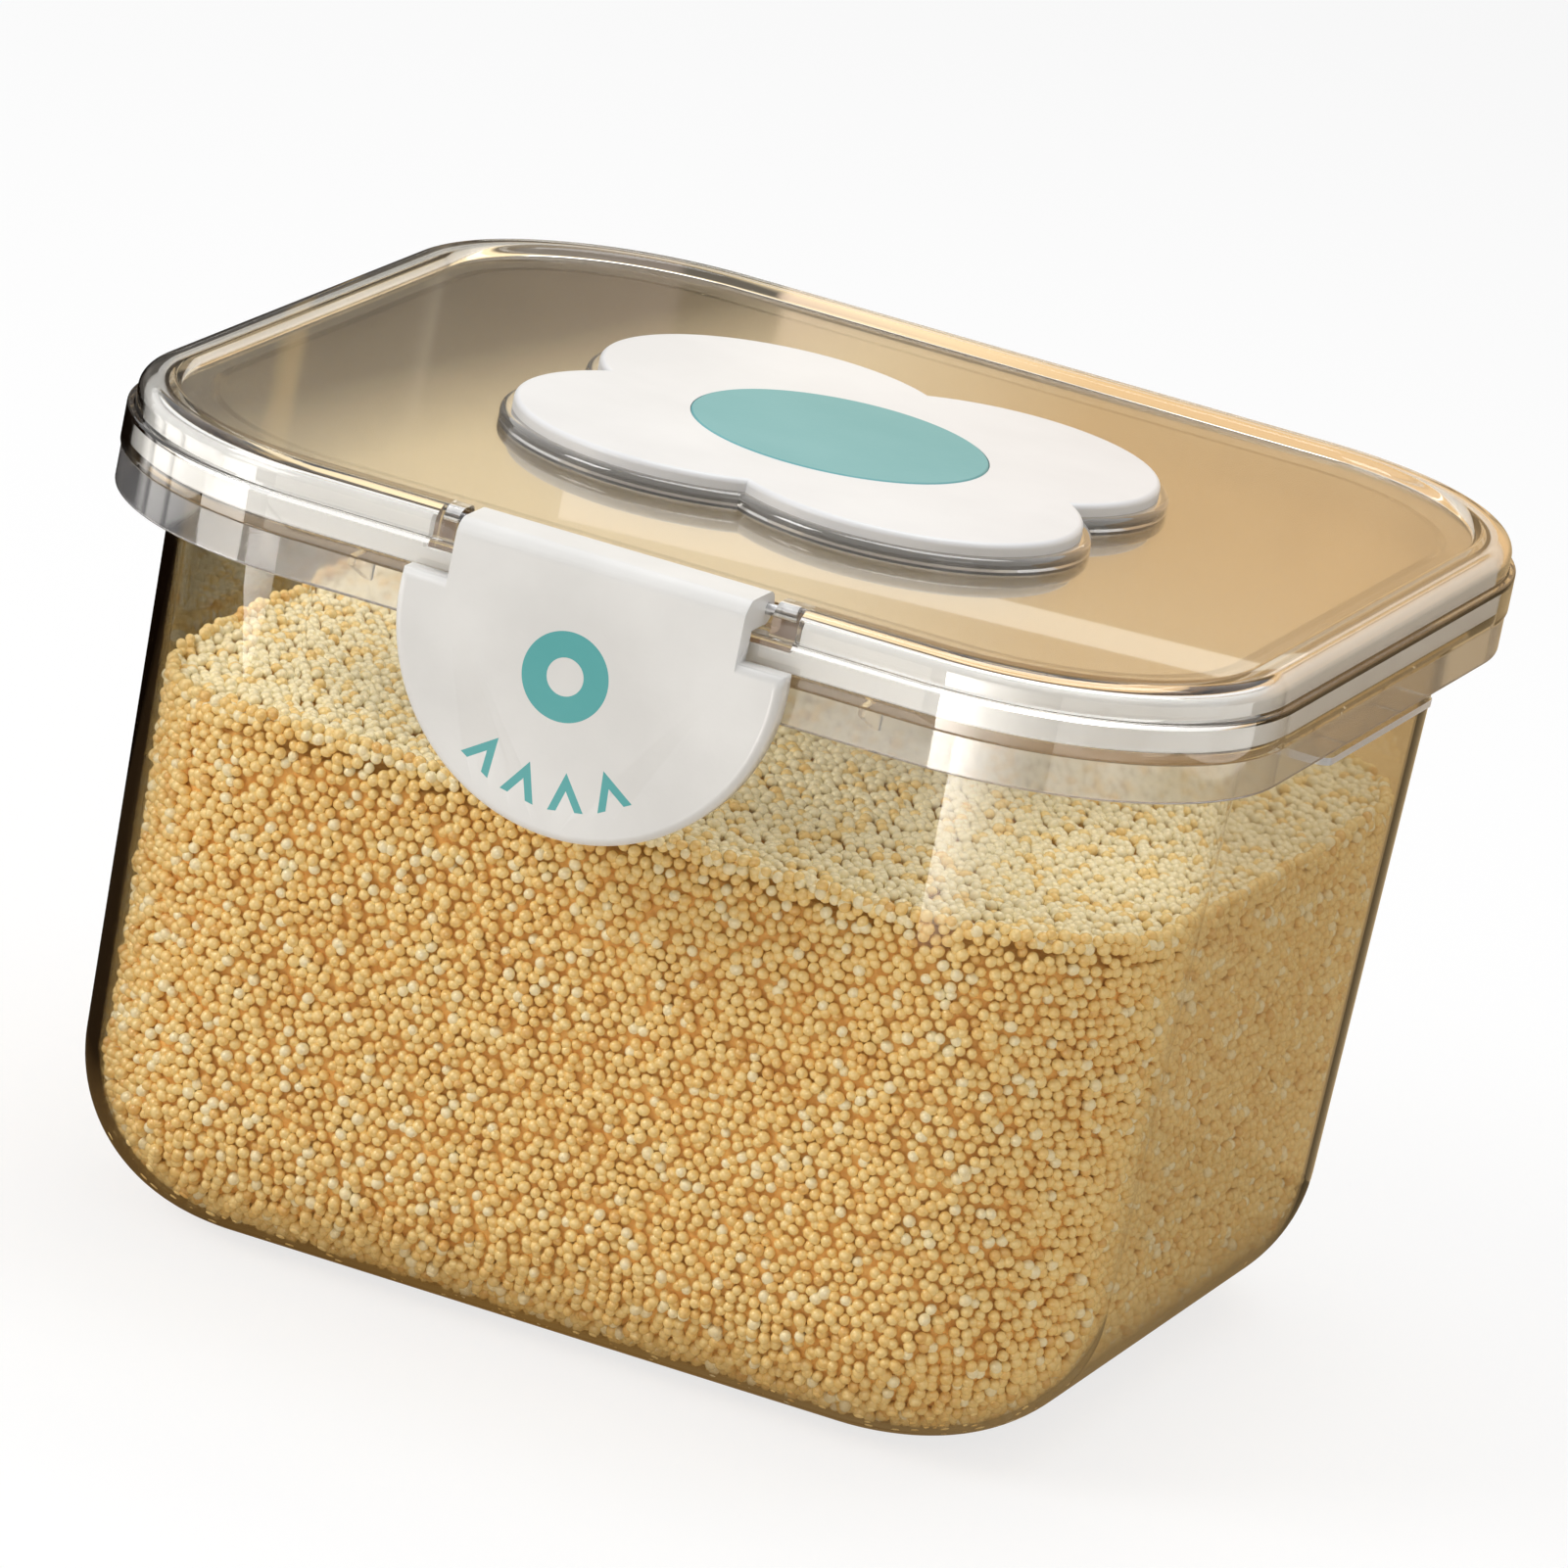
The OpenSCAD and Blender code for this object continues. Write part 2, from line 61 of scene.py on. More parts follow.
# Lid: rounded rectangles about LID_X, LID_Y. Each _R or _IN is a corner radius, each _Z a height.
LID_X, LID_Y = 67.5, 66.5
LID_TOP, SKIRT_Z, BAND_Z, STEP_Z = 173.0, 150.0, 158.0, 166.6
PANEL_Z, PANEL_UNDER, RIDGE_UNDER = 171.0, 168.8, 170.6
LID_R, SKIRT_R, SKIRT_IN, RIDGE_R, RIDGE_IN = 57.5, 57.1, 55.3, 55.9, 53.7
PANEL_R, SHOULDER, DROP = 47.2, 3.4, 2.0
RIB_R, RIB_T, RIB_Z = 48.2, 1.8, 161.5
FRONT_Y = LID_Y + LID_R
ABOVE = 180.0  # where cuts that run out at the top end

# Latch: its pin, and the notch in the lid with a cheek at each end and a tray below.
PIVOT_Y, PIVOT_Z = -117.5, 170.4
NOTCH, CHEEK, NOTCH_FLOOR, TRAY_T = 34.0, 5.0, 166.6, 2.2
LATCH_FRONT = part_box("latch")[0].y / MM

# Hinges: the pins' place, the lid's knuckles and the tub's lugs.
HINGE_X, HINGE_Y, HINGE_Z = 55.5, 129.5, 152.0
KNUCKLE_W, KNUCKLE_R, LUG_W, LUG_H, LUG_GAP = 15.4, 4.2, 6.0, 15.0, 0.3

# Bores, as (radius, half length).
LUG_BORE, KNUCKLE_BORE, LATCH_BORE = (1.51, 15), (1.56, 9), (1.21, NOTCH + 4)

# Flower badge and the boss that carries it.
PETAL_R, PETAL_REACH, FLOWER_Y = 37.0, 33.0, -1.5
BOSS_MARGIN, BOSS_TOP = 2.4, 174.2

# Small ribs of the tub, and how far they and other added pieces reach into the wall that carries them.
RIB_HALF, BITE = 0.75, 1.3

# ---------------------------------------------------------------- camera
# Found by matching points of the bin with the photo: angles in radians, the rest in pixels of the photo.
YAW, PITCH, ROLL = 0.319820, 0.275853, 0.200414
FOCAL_PX, SCALE_PX, FRAME_PX = 13346.5, 4.99959, 1601  # SCALE_PX is per mm, at the middle of the lid
CENTRE_PX = (856.78, 462.35)  # where the middle of the lid's top appears
SENSOR_MM = 36.0


def look_axes():
    """Forward, right and up of the rolled camera."""
    fwd = Vector((-math.sin(YAW) * math.cos(PITCH), math.cos(YAW) * math.cos(PITCH), -math.sin(PITCH)))
    right = fwd.cross(Vector((0, 0, 1))).normalized()
    up = right.cross(fwd)
    r = right * math.cos(ROLL) + up * math.sin(ROLL)
    u = up * math.cos(ROLL) - right * math.sin(ROLL)
    return fwd, r, u


def make_camera():
    """The photo's view, with the middle of the lid's top at CENTRE_PX."""
    fwd, r, u = look_axes()
    half = FRAME_PX / 2
    pos = Vector((0, 0, LID_TOP)) - fwd * (FOCAL_PX / SCALE_PX)
    pos -= r * ((CENTRE_PX[0] - half) / SCALE_PX)
    pos += u * ((CENTRE_PX[1] - half) / SCALE_PX)
    cam = bpy.data.objects.new("camera", bpy.data.cameras.new("camera"))
    bpy.context.scene.collection.objects.link(cam)
    cam.data.sensor_width = SENSOR_MM
    cam.data.lens = FOCAL_PX / FRAME_PX * SENSOR_MM
    cam.data.clip_start, cam.data.clip_end = 0.05, 30.0
    rot = Matrix((r, u, -fwd)).transposed()
    cam.matrix_world = Matrix.Translation(pos * MM) @ rot.to_4x4()
    bpy.context.scene.camera = cam


make_camera()


# ---------------------------------------------------------------- materials
def new_material(name):
    m = bpy.data.materials.new(name)
    m.use_nodes = True
    nt = m.node_tree
    return m, nt, nt.nodes["Principled BSDF"], nt.nodes["Material Output"]


def larger(nt, a, b):
    """The larger of two values."""
    m = nt.nodes.new("ShaderNodeMath")
    m.operation = "MAXIMUM"
    nt.links.new(a, m.inputs[0])
    nt.links.new(b, m.inputs[1])
    return m.outputs["Value"]


def mix_shaders(nt, share, a, b, out):
    """Surface that is a where share is 0 and b where it is 1."""
    mix = nt.nodes.new("ShaderNodeMixShader")
    nt.links.new(share, mix.inputs["Fac"])
    nt.links.new(a, mix.inputs[1])
    nt.links.new(b, mix.inputs[2])
    nt.links.new(mix.outputs["Shader"], out.inputs["Surface"])


def noise(nt, scale, detail):
    """Noise fixed to the object, as a value from 0 to 1."""
    tc = nt.nodes.new("ShaderNodeTexCoord")
    n = nt.nodes.new("ShaderNodeTexNoise")
    n.inputs["Scale"].default_value = scale
    n.inputs["Detail"].default_value = detail
    n.inputs["Roughness"].default_value = 0.5
    nt.links.new(tc.outputs["Object"], n.inputs["Vector"])
    return n.outputs["Fac"]


def ramp(nt, source, stops):
    """Colour by a value, from (place, colour) stops."""
    r = nt.nodes.new("ShaderNodeValToRGB")
    els = r.color_ramp.elements
    while len(els) < len(stops):
        els.new(0.5)
    for e, (at, colour) in zip(els, stops):
        e.position = at
        e.color = (*colour, 1)
    nt.links.new(source, r.inputs["Fac"])
    return r.outputs["Color"]


def mottle(nt, p, scale, detail, low, high, spread=0.15):
    """Lets the base colour wander between two close tones."""
    stops = [(0.5 - spread, low), (0.5 + spread, high)]
    nt.links.new(ramp(nt, noise(nt, scale, detail), stops), p.inputs["Base Color"])


def roughen(nt, p, scale, strength, distance):
    """Fine unevenness of the surface."""
    b = nt.nodes.new("ShaderNodeBump")
    b.inputs["Strength"].default_value = strength
    b.inputs["Distance"].default_value = distance
    nt.links.new(noise(nt, scale, 2.0), b.inputs["Height"])
    nt.links.new(b.outputs["Normal"], p.inputs["Normal"])


def white_plastic(name, low, high, rough=0.38):
    """Moulded satin plastic with a fine spark-eroded grain and a slight unevenness of tone."""
    m, nt, p, _ = new_material(name)
    mottle(nt, p, 30.0, 4.0, low, high)
    roughen(nt, p, 900.0, 0.12, 0.0002)
    p.inputs["Roughness"].default_value = rough
    p.inputs["IOR"].default_value = 1.48
    return m


def clear_plastic(name, tint, absorb, density, rough=0.02, clear=1.0, polish=0.0):
    """Clear plastic: bends light, darkens along its edges, and lets lamps reach what is behind it.

    clear below 1 makes it milky; polish adds a glossy skin over a rough body."""
    m, nt, p, out = new_material(name)
    p.inputs["Base Color"].default_value = (*tint, 1)
    p.inputs["Roughness"].default_value = rough
    p.inputs["IOR"].default_value = 1.49
    p.inputs["Transmission Weight"].default_value = clear
    p.inputs["Coat Weight"].default_value = polish
    p.inputs["Coat Roughness"].default_value = 0.02
    roughen(nt, p, 14.0, 0.15, 0.001)
    through = nt.nodes.new("ShaderNodeBsdfTransparent")
    through.inputs["Color"].default_value = (*[0.8 + 0.2 * t for t in tint], 1)
    path = nt.nodes.new("ShaderNodeLightPath")
    lamp = larger(nt, path.outputs["Is Shadow Ray"], path.outputs["Is Diffuse Ray"])
    mix_shaders(nt, lamp, p.outputs["BSDF"], through.outputs["BSDF"], out)
    vol = nt.nodes.new("ShaderNodeVolumeAbsorption")
    vol.inputs["Color"].default_value = (*absorb, 1)
    vol.inputs["Density"].default_value = density
    nt.links.new(vol.outputs["Volume"], out.inputs["Volume"])
    return m


def steel():
    m, nt, p, _ = new_material("pin_steel")
    p.inputs["Metallic"].default_value = 1.0
    mottle(nt, p, 400.0, 3.0, (0.52, 0.52, 0.53), (0.68, 0.68, 0.69), 0.2)
    p.inputs["Roughness"].default_value = 0.25
    return m


def silicone():
    """Milky rubber that lets some light through."""
    m, nt, p, _ = new_material("seal_silicone")
    mottle(nt, p, 60.0, 3.0, (0.9, 0.9, 0.89), (0.95, 0.95, 0.94), 0.2)
    p.inputs["Roughness"].default_value = 0.35
    p.inputs["Transmission Weight"].default_value = 0.5
    return m


TUB = clear_plastic("tub_clear", (0.97, 0.94, 0.87), (0.76, 0.6, 0.32), 55.0)
LEDGE = clear_plastic("grip_ledge", (0.95, 0.95, 0.96), (0.86, 0.8, 0.7), 5.0, rough=0.3, clear=0.55)
LID = clear_plastic("lid_clear", (0.97, 0.965, 0.95), (0.86, 0.75, 0.55), 10.0)
SKIRT = clear_plastic("lid_skirt", (0.84, 0.84, 0.87), (0.8, 0.75, 0.65), 10.0, rough=0.06, clear=0.94)
PANEL = clear_plastic("lid_panel", (0.74, 0.67, 0.55), (0.86, 0.75, 0.55), 10.0, rough=0.22, polish=1.0)
BOSS = clear_plastic(
    "lid_boss", (0.8, 0.79, 0.78), (0.55, 0.5, 0.45), 45.0, rough=0.04, clear=0.9, polish=1.0)
WHITE = white_plastic("latch_white", (0.66, 0.65, 0.63), (0.74, 0.73, 0.71))
BADGE = white_plastic("badge_white", (0.7, 0.7, 0.705), (0.75, 0.75, 0.755))
TEAL = white_plastic("badge_teal", (0.115, 0.355, 0.375), (0.14, 0.385, 0.405), 0.42)
PRINT = white_plastic("print_teal", (0.06, 0.34, 0.34), (0.09, 0.38, 0.38), 0.45)
STEEL = steel()
SEAL = silicone()

for name, mat in (
    ("latch_pin", STEEL),
    ("hinge_pin_left", STEEL),
    ("hinge_pin_right", STEEL),
    ("flower_cover", BADGE),
    ("flower_inlay", TEAL),
):
    nodes[name].material_slots[0].material = mat


# ---------------------------------------------------------------- mesh helpers, all in mm
def arc(cx, cz, r, a0, a1, steps):
    """Points of an arc about (cx, cz), angles in degrees."""
    angles = np.radians(np.linspace(a0, a1, steps + 1))
    return [(cx + r * math.cos(a), cz + r * math.sin(a)) for a in angles]


def outline(half_x, half_y, r):
    """Rounded rectangle whose corner centres lie at half_x, half_y, counter-clockwise."""
    pts = []
    for k, (sx, sy) in enumerate(((1, -1), (1, 1), (-1, 1), (-1, -1))):
        pts += arc(sx * half_x, sy * half_y, r, -90 + 90 * k, 90 * k, 36)
    return pts


def rounded(centres, line):
    """Loops of rounded rectangles about the given corner centres, one for each (corner radius, height)."""
    return [(outline(*centres, r), z) for r, z in line]


def block(d0, d1, z0, z1):
    """Rectangle of (distance, height)."""
    return [(d0, z0), (d1, z0), (d1, z1), (d0, z1)]


def flower(r):
    """Outline of four round petals of radius r, on the diagonals about the badge's middle."""
    pts = []
    for a in np.arange(288) / 288 * 2 * math.pi:
        best = 0.0
        for k in range(4):
            b = math.pi / 4 + k * math.pi / 2
            along, off = PETAL_REACH * math.cos(a - b), PETAL_REACH * math.sin(a - b)
            if abs(off) <= r:
                best = max(best, along + math.sqrt(r * r - off * off))
        pts.append((best * math.cos(a), best * math.sin(a) + FLOWER_Y))
    return pts


def build(name, verts, faces):
    me = bpy.data.meshes.new(name)
    me.from_pydata([(x * MM, y * MM, z * MM) for x, y, z in verts], [], faces)
    me.update()
    ob = bpy.data.objects.new(name, me)
    bpy.context.scene.collection.objects.link(ob)
    return ob


def loft(name, loops, closed=False):
    """Skin through (outline, height) loops: flat ends, or joined end to start where closed."""
    n = len(loops[0][0])
    verts = [(x, y, z) for line, z in loops for x, y in line]
    faces = []
    last = len(loops) if closed else len(loops) - 1
    for k in range(last):
        a, b = k * n, (k + 1) % len(loops) * n
        for i in range(n):
            j = (i + 1) % n
            faces.append((a + i, a + j, b + j, b + i))
    if not closed:
        faces.append(tuple(range(n - 1, -1, -1)))
        faces.append(tuple((len(loops) - 1) * n + i for i in range(n)))
    return build(name, verts, faces)


def closed_ends(name, verts):
    """Closed solid between two equal polygons, given one after the other."""
    n = len(verts) // 2
    faces = [tuple(range(n - 1, -1, -1)), tuple(range(n, 2 * n))]
    faces += [(i, (i + 1) % n, n + (i + 1) % n, n + i) for i in range(n)]
    ob = build(name, verts, faces)
    bm = bmesh.new()
    bm.from_mesh(ob.data)
    bmesh.ops.recalc_face_normals(bm, faces=bm.faces)
    bm.to_mesh(ob.data)
    bm.free()
    return ob


def prism(name, poly, v0, v1, turn=90):
    """Extrudes a polygon of (distance, height) sideways from v0 to v1.

    turn says which way the distance runs: 0 to +X, 90 to +Y, 180 to -X, 270 to -Y."""
    c, s = math.cos(math.radians(turn)), math.sin(math.radians(turn))
    return closed_ends(name, [(c * p - s * v, s * p + c * v, z) for v in (v0, v1) for p, z in poly])


def bore(x, y, z, size):
    """Round bar along X to cut with; size is (radius, half length)."""
    r, half = size
    return prism("bore", arc(y, z, r, 0, 351, 39), -x - half, half - x)


def join(parts):
    """One object from several that don't touch."""
    with bpy.context.temp_override(active_object=parts[0], selected_editable_objects=parts):
        bpy.ops.object.join()
    return parts[0]


def combine(base, part, how):
    """Fuses part with base, or cuts it out of base."""
    m = base.modifiers.new(how, "BOOLEAN")
    m.operation = how
    m.solver = "EXACT"
    m.object = part
    with bpy.context.temp_override(object=base, active_object=base, selected_objects=[base]):
        bpy.ops.object.modifier_apply(modifier=m.name)
    bpy.data.objects.remove(part)


def finish_skin(ob, angle=32):
    """Cleans the mesh after its cuts, and smooths all but its sharp edges."""
    me = ob.data
    bm = bmesh.new()
    bm.from_mesh(me)
    bmesh.ops.remove_doubles(bm, verts=bm.verts, dist=0.002 * MM)
    bmesh.ops.dissolve_degenerate(bm, edges=bm.edges, dist=0.002 * MM)
    bm.to_mesh(me)
    bm.free()
    me.shade_smooth()
    me.set_sharp_from_angle(angle=math.radians(angle))
    m = ob.modifiers.new("even_normals", "WEIGHTED_NORMAL")
    m.keep_sharp = True
    m.weight = 80
    with bpy.context.temp_override(object=ob, active_object=ob, selected_objects=[ob]):
        bpy.ops.object.modifier_apply(modifier=m.name)


# ---------------------------------------------------------------- clear tub
GRIP_TOP, GRIP_T, GRIP_REACH, GRIP_HALF = SKIRT_Z - 0.6, 1.6, 9.5, 34
CATCH_T, CATCH_LOW, CATCH_HIGH, CATCH_HALF = 2.4, 153.5, 158, 26
MID_LOW, MID_HIGH = 70, 110  # heights of two loops that keep the wall's faces short


def wall_out(z):
    """Corner radius of the tub's outside at height z, above its rounded lower edge."""
    return TUB_CORNER - (TUB_H - z) * math.tan(LEAN)


def tub_shell():
    """The tub without its ribs: up the outside, over the rim and down the inside."""
    lean = math.degrees(LEAN)
    bend_at = wall_out(BASE_R) - BASE_R / math.cos(LEAN)
    floor_angle = math.degrees(math.asin((BASE_R - TUB_FLOOR) / INNER_R))
    rim_in = TUB_CORNER + INNER_SHIFT - TUB_WALL / math.cos(LEAN)
    outside = arc(bend_at, BASE_R, BASE_R, -90, -lean, 30)
    outside += [(wall_out(z), z) for z in (MID_LOW, MID_HIGH, RIM_UNDER)]
    rim = arc(RIM_R - RIM_SOFT, RIM_UNDER + RIM_SOFT, RIM_SOFT, -90, 0, 4)
    rim += arc(RIM_R - RIM_SOFT, TUB_H - RIM_SOFT, RIM_SOFT, 0, 90, 4)
    inside = arc(rim_in + LIP_SOFT, TUB_H - LIP_SOFT, LIP_SOFT, 90, 178, 5)
    inside += [(rim_in - (TUB_H - z) * math.tan(LEAN), z) for z in (MID_HIGH, MID_LOW)]
    inside += arc(bend_at, BASE_R, INNER_R, -lean, -floor_angle, 26)
    loops = rounded((TUB_X, TUB_Y), outside) + rounded((LID_X, LID_Y), rim)
    return loft("tub_shell", loops + rounded((TUB_X - INNER_SHIFT, TUB_Y - INNER_SHIFT), inside))


def gussets():
    """Two small ribs under the rim on each side, deep at the wall and shallow at the rim's edge."""
    height, foot_w, tip_h = 7, 2.3, 2
    low, high = RIM_UNDER - height, RIM_UNDER + RIM_SOFT
    parts = []
    for turn in (0, 90, 180, 270):
        half, reach, off = (TUB_X, LID_X, 22) if turn % 180 == 0 else (TUB_Y, LID_Y, 55)
        foot = half + wall_out(low) - BITE
        tip = reach + RIM_R - 1.5
        line = [(foot, low), (foot + foot_w, low), (tip, RIM_UNDER - tip_h), (tip, high), (foot, high)]
        parts += [prism("gusset", line, v - RIB_HALF, v + RIB_HALF, turn) for v in (-off, off)]
    return parts


def grips(root):
    """A flat finger ledge on the left and right of the tub, and the ribs that carry them from below."""
    tip = TUB_X + TUB_CORNER + GRIP_REACH
    soft, rib_h, rib_off = 3, 7.6, 17
    high, low = GRIP_TOP - 0.5, GRIP_TOP - rib_h
    ledges, ribs = [], []
    for turn in (0, 180):
        plan = [(root, -GRIP_HALF), *arc(tip - soft, soft - GRIP_HALF, soft, -90, 0, 8)]
        plan += [*arc(tip - soft, GRIP_HALF - soft, soft, 0, 90, 8), (root, GRIP_HALF)]
        flip = 1 if turn == 0 else -1
        plan = [(flip * x, flip * y) for x, y in plan]
        ledges.append(loft("ledge", [(plan, GRIP_TOP - GRIP_T), (plan, GRIP_TOP)]))
        line = [(root, high), (root, low), (root + BITE, low), (tip - 2, high)]
        ribs += [prism("ledge_rib", line, v - RIB_HALF, v + RIB_HALF, turn) for v in (-rib_off, rib_off)]
    return ledges, ribs


def lugs():
    """Four lugs at the rear, one on each side of each knuckle, round about the hinge pins."""
    low = GRIP_TOP - LUG_H
    root = TUB_Y + wall_out(low) - BITE
    web = [(root, low), (HINGE_Y - 3, HINGE_Z - KNUCKLE_R - 0.6)]
    web += arc(HINGE_Y, HINGE_Z, KNUCKLE_R, -90, 150, 24)
    web += [(HINGE_Y - KNUCKLE_R * 0.9, GRIP_TOP), (root, GRIP_TOP)]
    parts = []
    for x in (-HINGE_X, HINGE_X):
        for side in (-1, 1):
            mid = x + side * (KNUCKLE_W / 2 + LUG_GAP + LUG_W / 2)
            parts.append(prism("lug", web, -mid - LUG_W / 2, -mid + LUG_W / 2))
    return parts


def make_tub():
    body = tub_shell()
    front = -(LID_Y + RIM_R)
    catch = prism("catch", block(front, front + CATCH_T, CATCH_LOW, CATCH_HIGH), -CATCH_HALF, CATCH_HALF)
    grip_root = TUB_X + wall_out(GRIP_TOP - GRIP_T) - BITE
    ledges, ledge_ribs = grips(grip_root)
    combine(body, join([*gussets(), catch, *ledges, *lugs()]), "UNION")
    combine(body, join(ledge_ribs), "UNION")
    bores = [bore(x, HINGE_Y, HINGE_Z, LUG_BORE) for x in (-HINGE_X, HINGE_X)]
    combine(body, join(bores), "DIFFERENCE")
    finish_skin(body)
    body.data.materials.append(TUB)
    body.data.materials.append(LEDGE)
    for p in body.data.polygons:
        x, y, z = p.center / MM
        at_ledge = GRIP_TOP - GRIP_T - 0.1 < z < GRIP_TOP + 0.1 and abs(x) > grip_root + 3
        if at_ledge and abs(p.normal.z) < 0.5:
            p.material_index = 1
    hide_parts("bin_body")
    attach(body, "bin")


# ---------------------------------------------------------------- clear lid
HOOK_TOP, HOOK_HALF = 157, 24  # opening in the skirt for the latch hook


def shoulder_and_drop(steps_up, steps_down):
    """Rounded top of the lid's border, from outside, and the rounded step down to the panel."""
    line = arc(RIDGE_R - SHOULDER, LID_TOP - SHOULDER, SHOULDER, 0, 90, steps_up)
    return line + arc(PANEL_R + DROP, LID_TOP - DROP, DROP, 90, 180, steps_down)


def lid_shell():
    """The lid without its additions: out under the panel, down the skirt's inside, up its outside, and in."""
    rib_out = RIB_R + RIB_T
    under = [(RIB_R, PANEL_UNDER), (RIB_R, RIB_Z), (rib_out, RIB_Z), (rib_out, RIDGE_UNDER - 1)]
    under += arc(rib_out + 1, RIDGE_UNDER - 1, 1, 180, 90, 4)[1:]
    under += arc(RIDGE_IN - 1.5, RIDGE_UNDER - 1.5, 1.5, 90, 0, 6)
    under += [(RIDGE_IN, STEP_Z - 0.6), (SKIRT_IN, STEP_Z - 1.6), (SKIRT_IN, BAND_Z)]
    soft = 0.4
    under.append((SKIRT_IN, SKIRT_Z + soft))
    under += arc(SKIRT_IN + soft, SKIRT_Z + soft, soft, 180, 270, 3)[1:]
    over = arc(SKIRT_R - soft, SKIRT_Z + soft, soft, 270, 360, 3)
    over += [(SKIRT_R, BAND_Z), (LID_R - 0.1, BAND_Z + 0.3), (LID_R, BAND_Z + 0.6), (LID_R, STEP_Z - 0.5)]
    over += arc(LID_R - 0.5, STEP_Z - 0.5, 0.5, 0, 90, 4)[1:]
    over += [(RIDGE_R + 0.3, STEP_Z), (RIDGE_R, STEP_Z + 0.4)]
    over += shoulder_and_drop(14, 10)
    return loft("lid_shell", rounded((LID_X, LID_Y), under + over))


def forward(line):
    """A line of (corner radius, height) as (distance from the middle, height) at the lid's flat front."""
    return [(LID_Y + r, z) for r, z in line]


def notch_parts():
    """A cheek at each end of the latch notch, and the tray that closes it from below."""
    tray_at, tray_out, low = PANEL_R - 2.2, SKIRT_IN + 0.6, NOTCH_FLOOR - TRAY_T
    cheek = [(tray_out, low), (tray_out, STEP_Z), *shoulder_and_drop(10, 8)]
    cheek += [(tray_at, PANEL_Z), (tray_at, low)]
    tray = [(tray_at, low), (tray_out, low), (tray_out, NOTCH_FLOOR), (PANEL_R, NOTCH_FLOOR)]
    tray += [(PANEL_R, PANEL_Z), (tray_at, PANEL_Z)]
    end = NOTCH + CHEEK
    cheeks = [prism("cheek", forward(cheek), v, v + CHEEK, 270) for v in (-end, NOTCH)]
    return cheeks, prism("tray", forward(tray), -end, end, 270)


def knuckles():
    """The two hinge knuckles, rooted in the rear of the skirt."""
    root = LID_Y + SKIRT_IN + 0.6
    line = [(root, SKIRT_Z + 1), (HINGE_Y, HINGE_Z - KNUCKLE_R)]
    line += [*arc(HINGE_Y, HINGE_Z, KNUCKLE_R, -85, 90, 20), (root, SKIRT_Z + 15)]
    half = KNUCKLE_W / 2
    return [prism("knuckle", line, -x - half, -x + half) for x in (-HINGE_X, HINGE_X)]


def flower_parts():
    """The boss under the badge, the hollow below it and the seat that is cut into its top."""
    r, soft = PETAL_R + BOSS_MARGIN, 1.4
    boss = [(r, PANEL_Z - 0.5), *arc(r - soft, BOSS_TOP - soft, soft, 0, 90, 8)]
    inner = r - 1.8
    hollow = [(inner, PANEL_UNDER - 0.5), (inner, BOSS_TOP - 2.9), (inner - 0.5, BOSS_TOP - 2.4)]
    seat = [(PETAL_R + 0.15, z) for z in (BOSS_TOP - 0.65, BOSS_TOP + 1)]
    named = (("boss", boss), ("hollow", hollow), ("seat", seat))
    return [loft(name, [(flower(r), z) for r, z in line]) for name, line in named]


def plug_wall():
    """Low wall under the panel that reaches into the tub's mouth."""
    out, low = TUB_CORNER - TUB_WALL - 1.5, 156.0
    line = [(out - 0.5, low), (out, low + 0.5), (out, PANEL_UNDER + 0.5), (out - 2, PANEL_UNDER + 0.5)]
    line += [(out - 2, low + 0.5), (out - 1.5, low)]
    return loft("plug", rounded((TUB_X, TUB_Y), line), closed=True)


def lid_material(p):
    """Which of the lid's materials a face has: 0 plain, 1 panel, 2 skirt, 3 boss."""
    x, y, z = p.center / MM
    across, along = abs(x) - LID_X, abs(y) - LID_Y
    beyond = math.hypot(across, along) if min(across, along) > 0 else max(across, along)
    if z < BAND_Z and beyond > SKIRT_IN - 1.0 and y < HINGE_Y - 6:
        return 2
    if beyond < RIB_R - 0.1 and (abs(z - PANEL_Z) < 0.05 or z < PANEL_UNDER + 0.05):
        return 1
    if z > PANEL_Z + 0.05 and math.hypot(x, y - FLOWER_Y) < PETAL_REACH + PETAL_R + BOSS_MARGIN + 1:
        return 3
    return 0


def make_lid():
    lid = lid_shell()
    cheeks, tray = notch_parts()
    boss, hollow, seat = flower_parts()
    combine(lid, join([*cheeks, *knuckles(), boss]), "UNION")
    combine(lid, tray, "UNION")
    combine(lid, plug_wall(), "UNION")
    notch = prism("notch", block(LID_Y + PANEL_R, FRONT_Y + 1, NOTCH_FLOOR, ABOVE), -NOTCH, NOTCH, 270)
    half = HOOK_HALF
    window = prism("window", block(LID_Y + RIM_R, FRONT_Y + 1, SKIRT_Z - 1, HOOK_TOP), -half, half, 270)
    combine(lid, join([hollow, seat, notch, window]), "DIFFERENCE")
    bores = [bore(x, HINGE_Y, HINGE_Z, KNUCKLE_BORE) for x in (-HINGE_X, HINGE_X)]
    bores.append(bore(0, PIVOT_Y, PIVOT_Z, LATCH_BORE))
    combine(lid, join(bores), "DIFFERENCE")
    finish_skin(lid)
    for m in (LID, PANEL, SKIRT, BOSS):
        lid.data.materials.append(m)
    for p in lid.data.polygons:
        p.material_index = lid_material(p)
    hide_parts("lid")
    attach(lid, "lid")


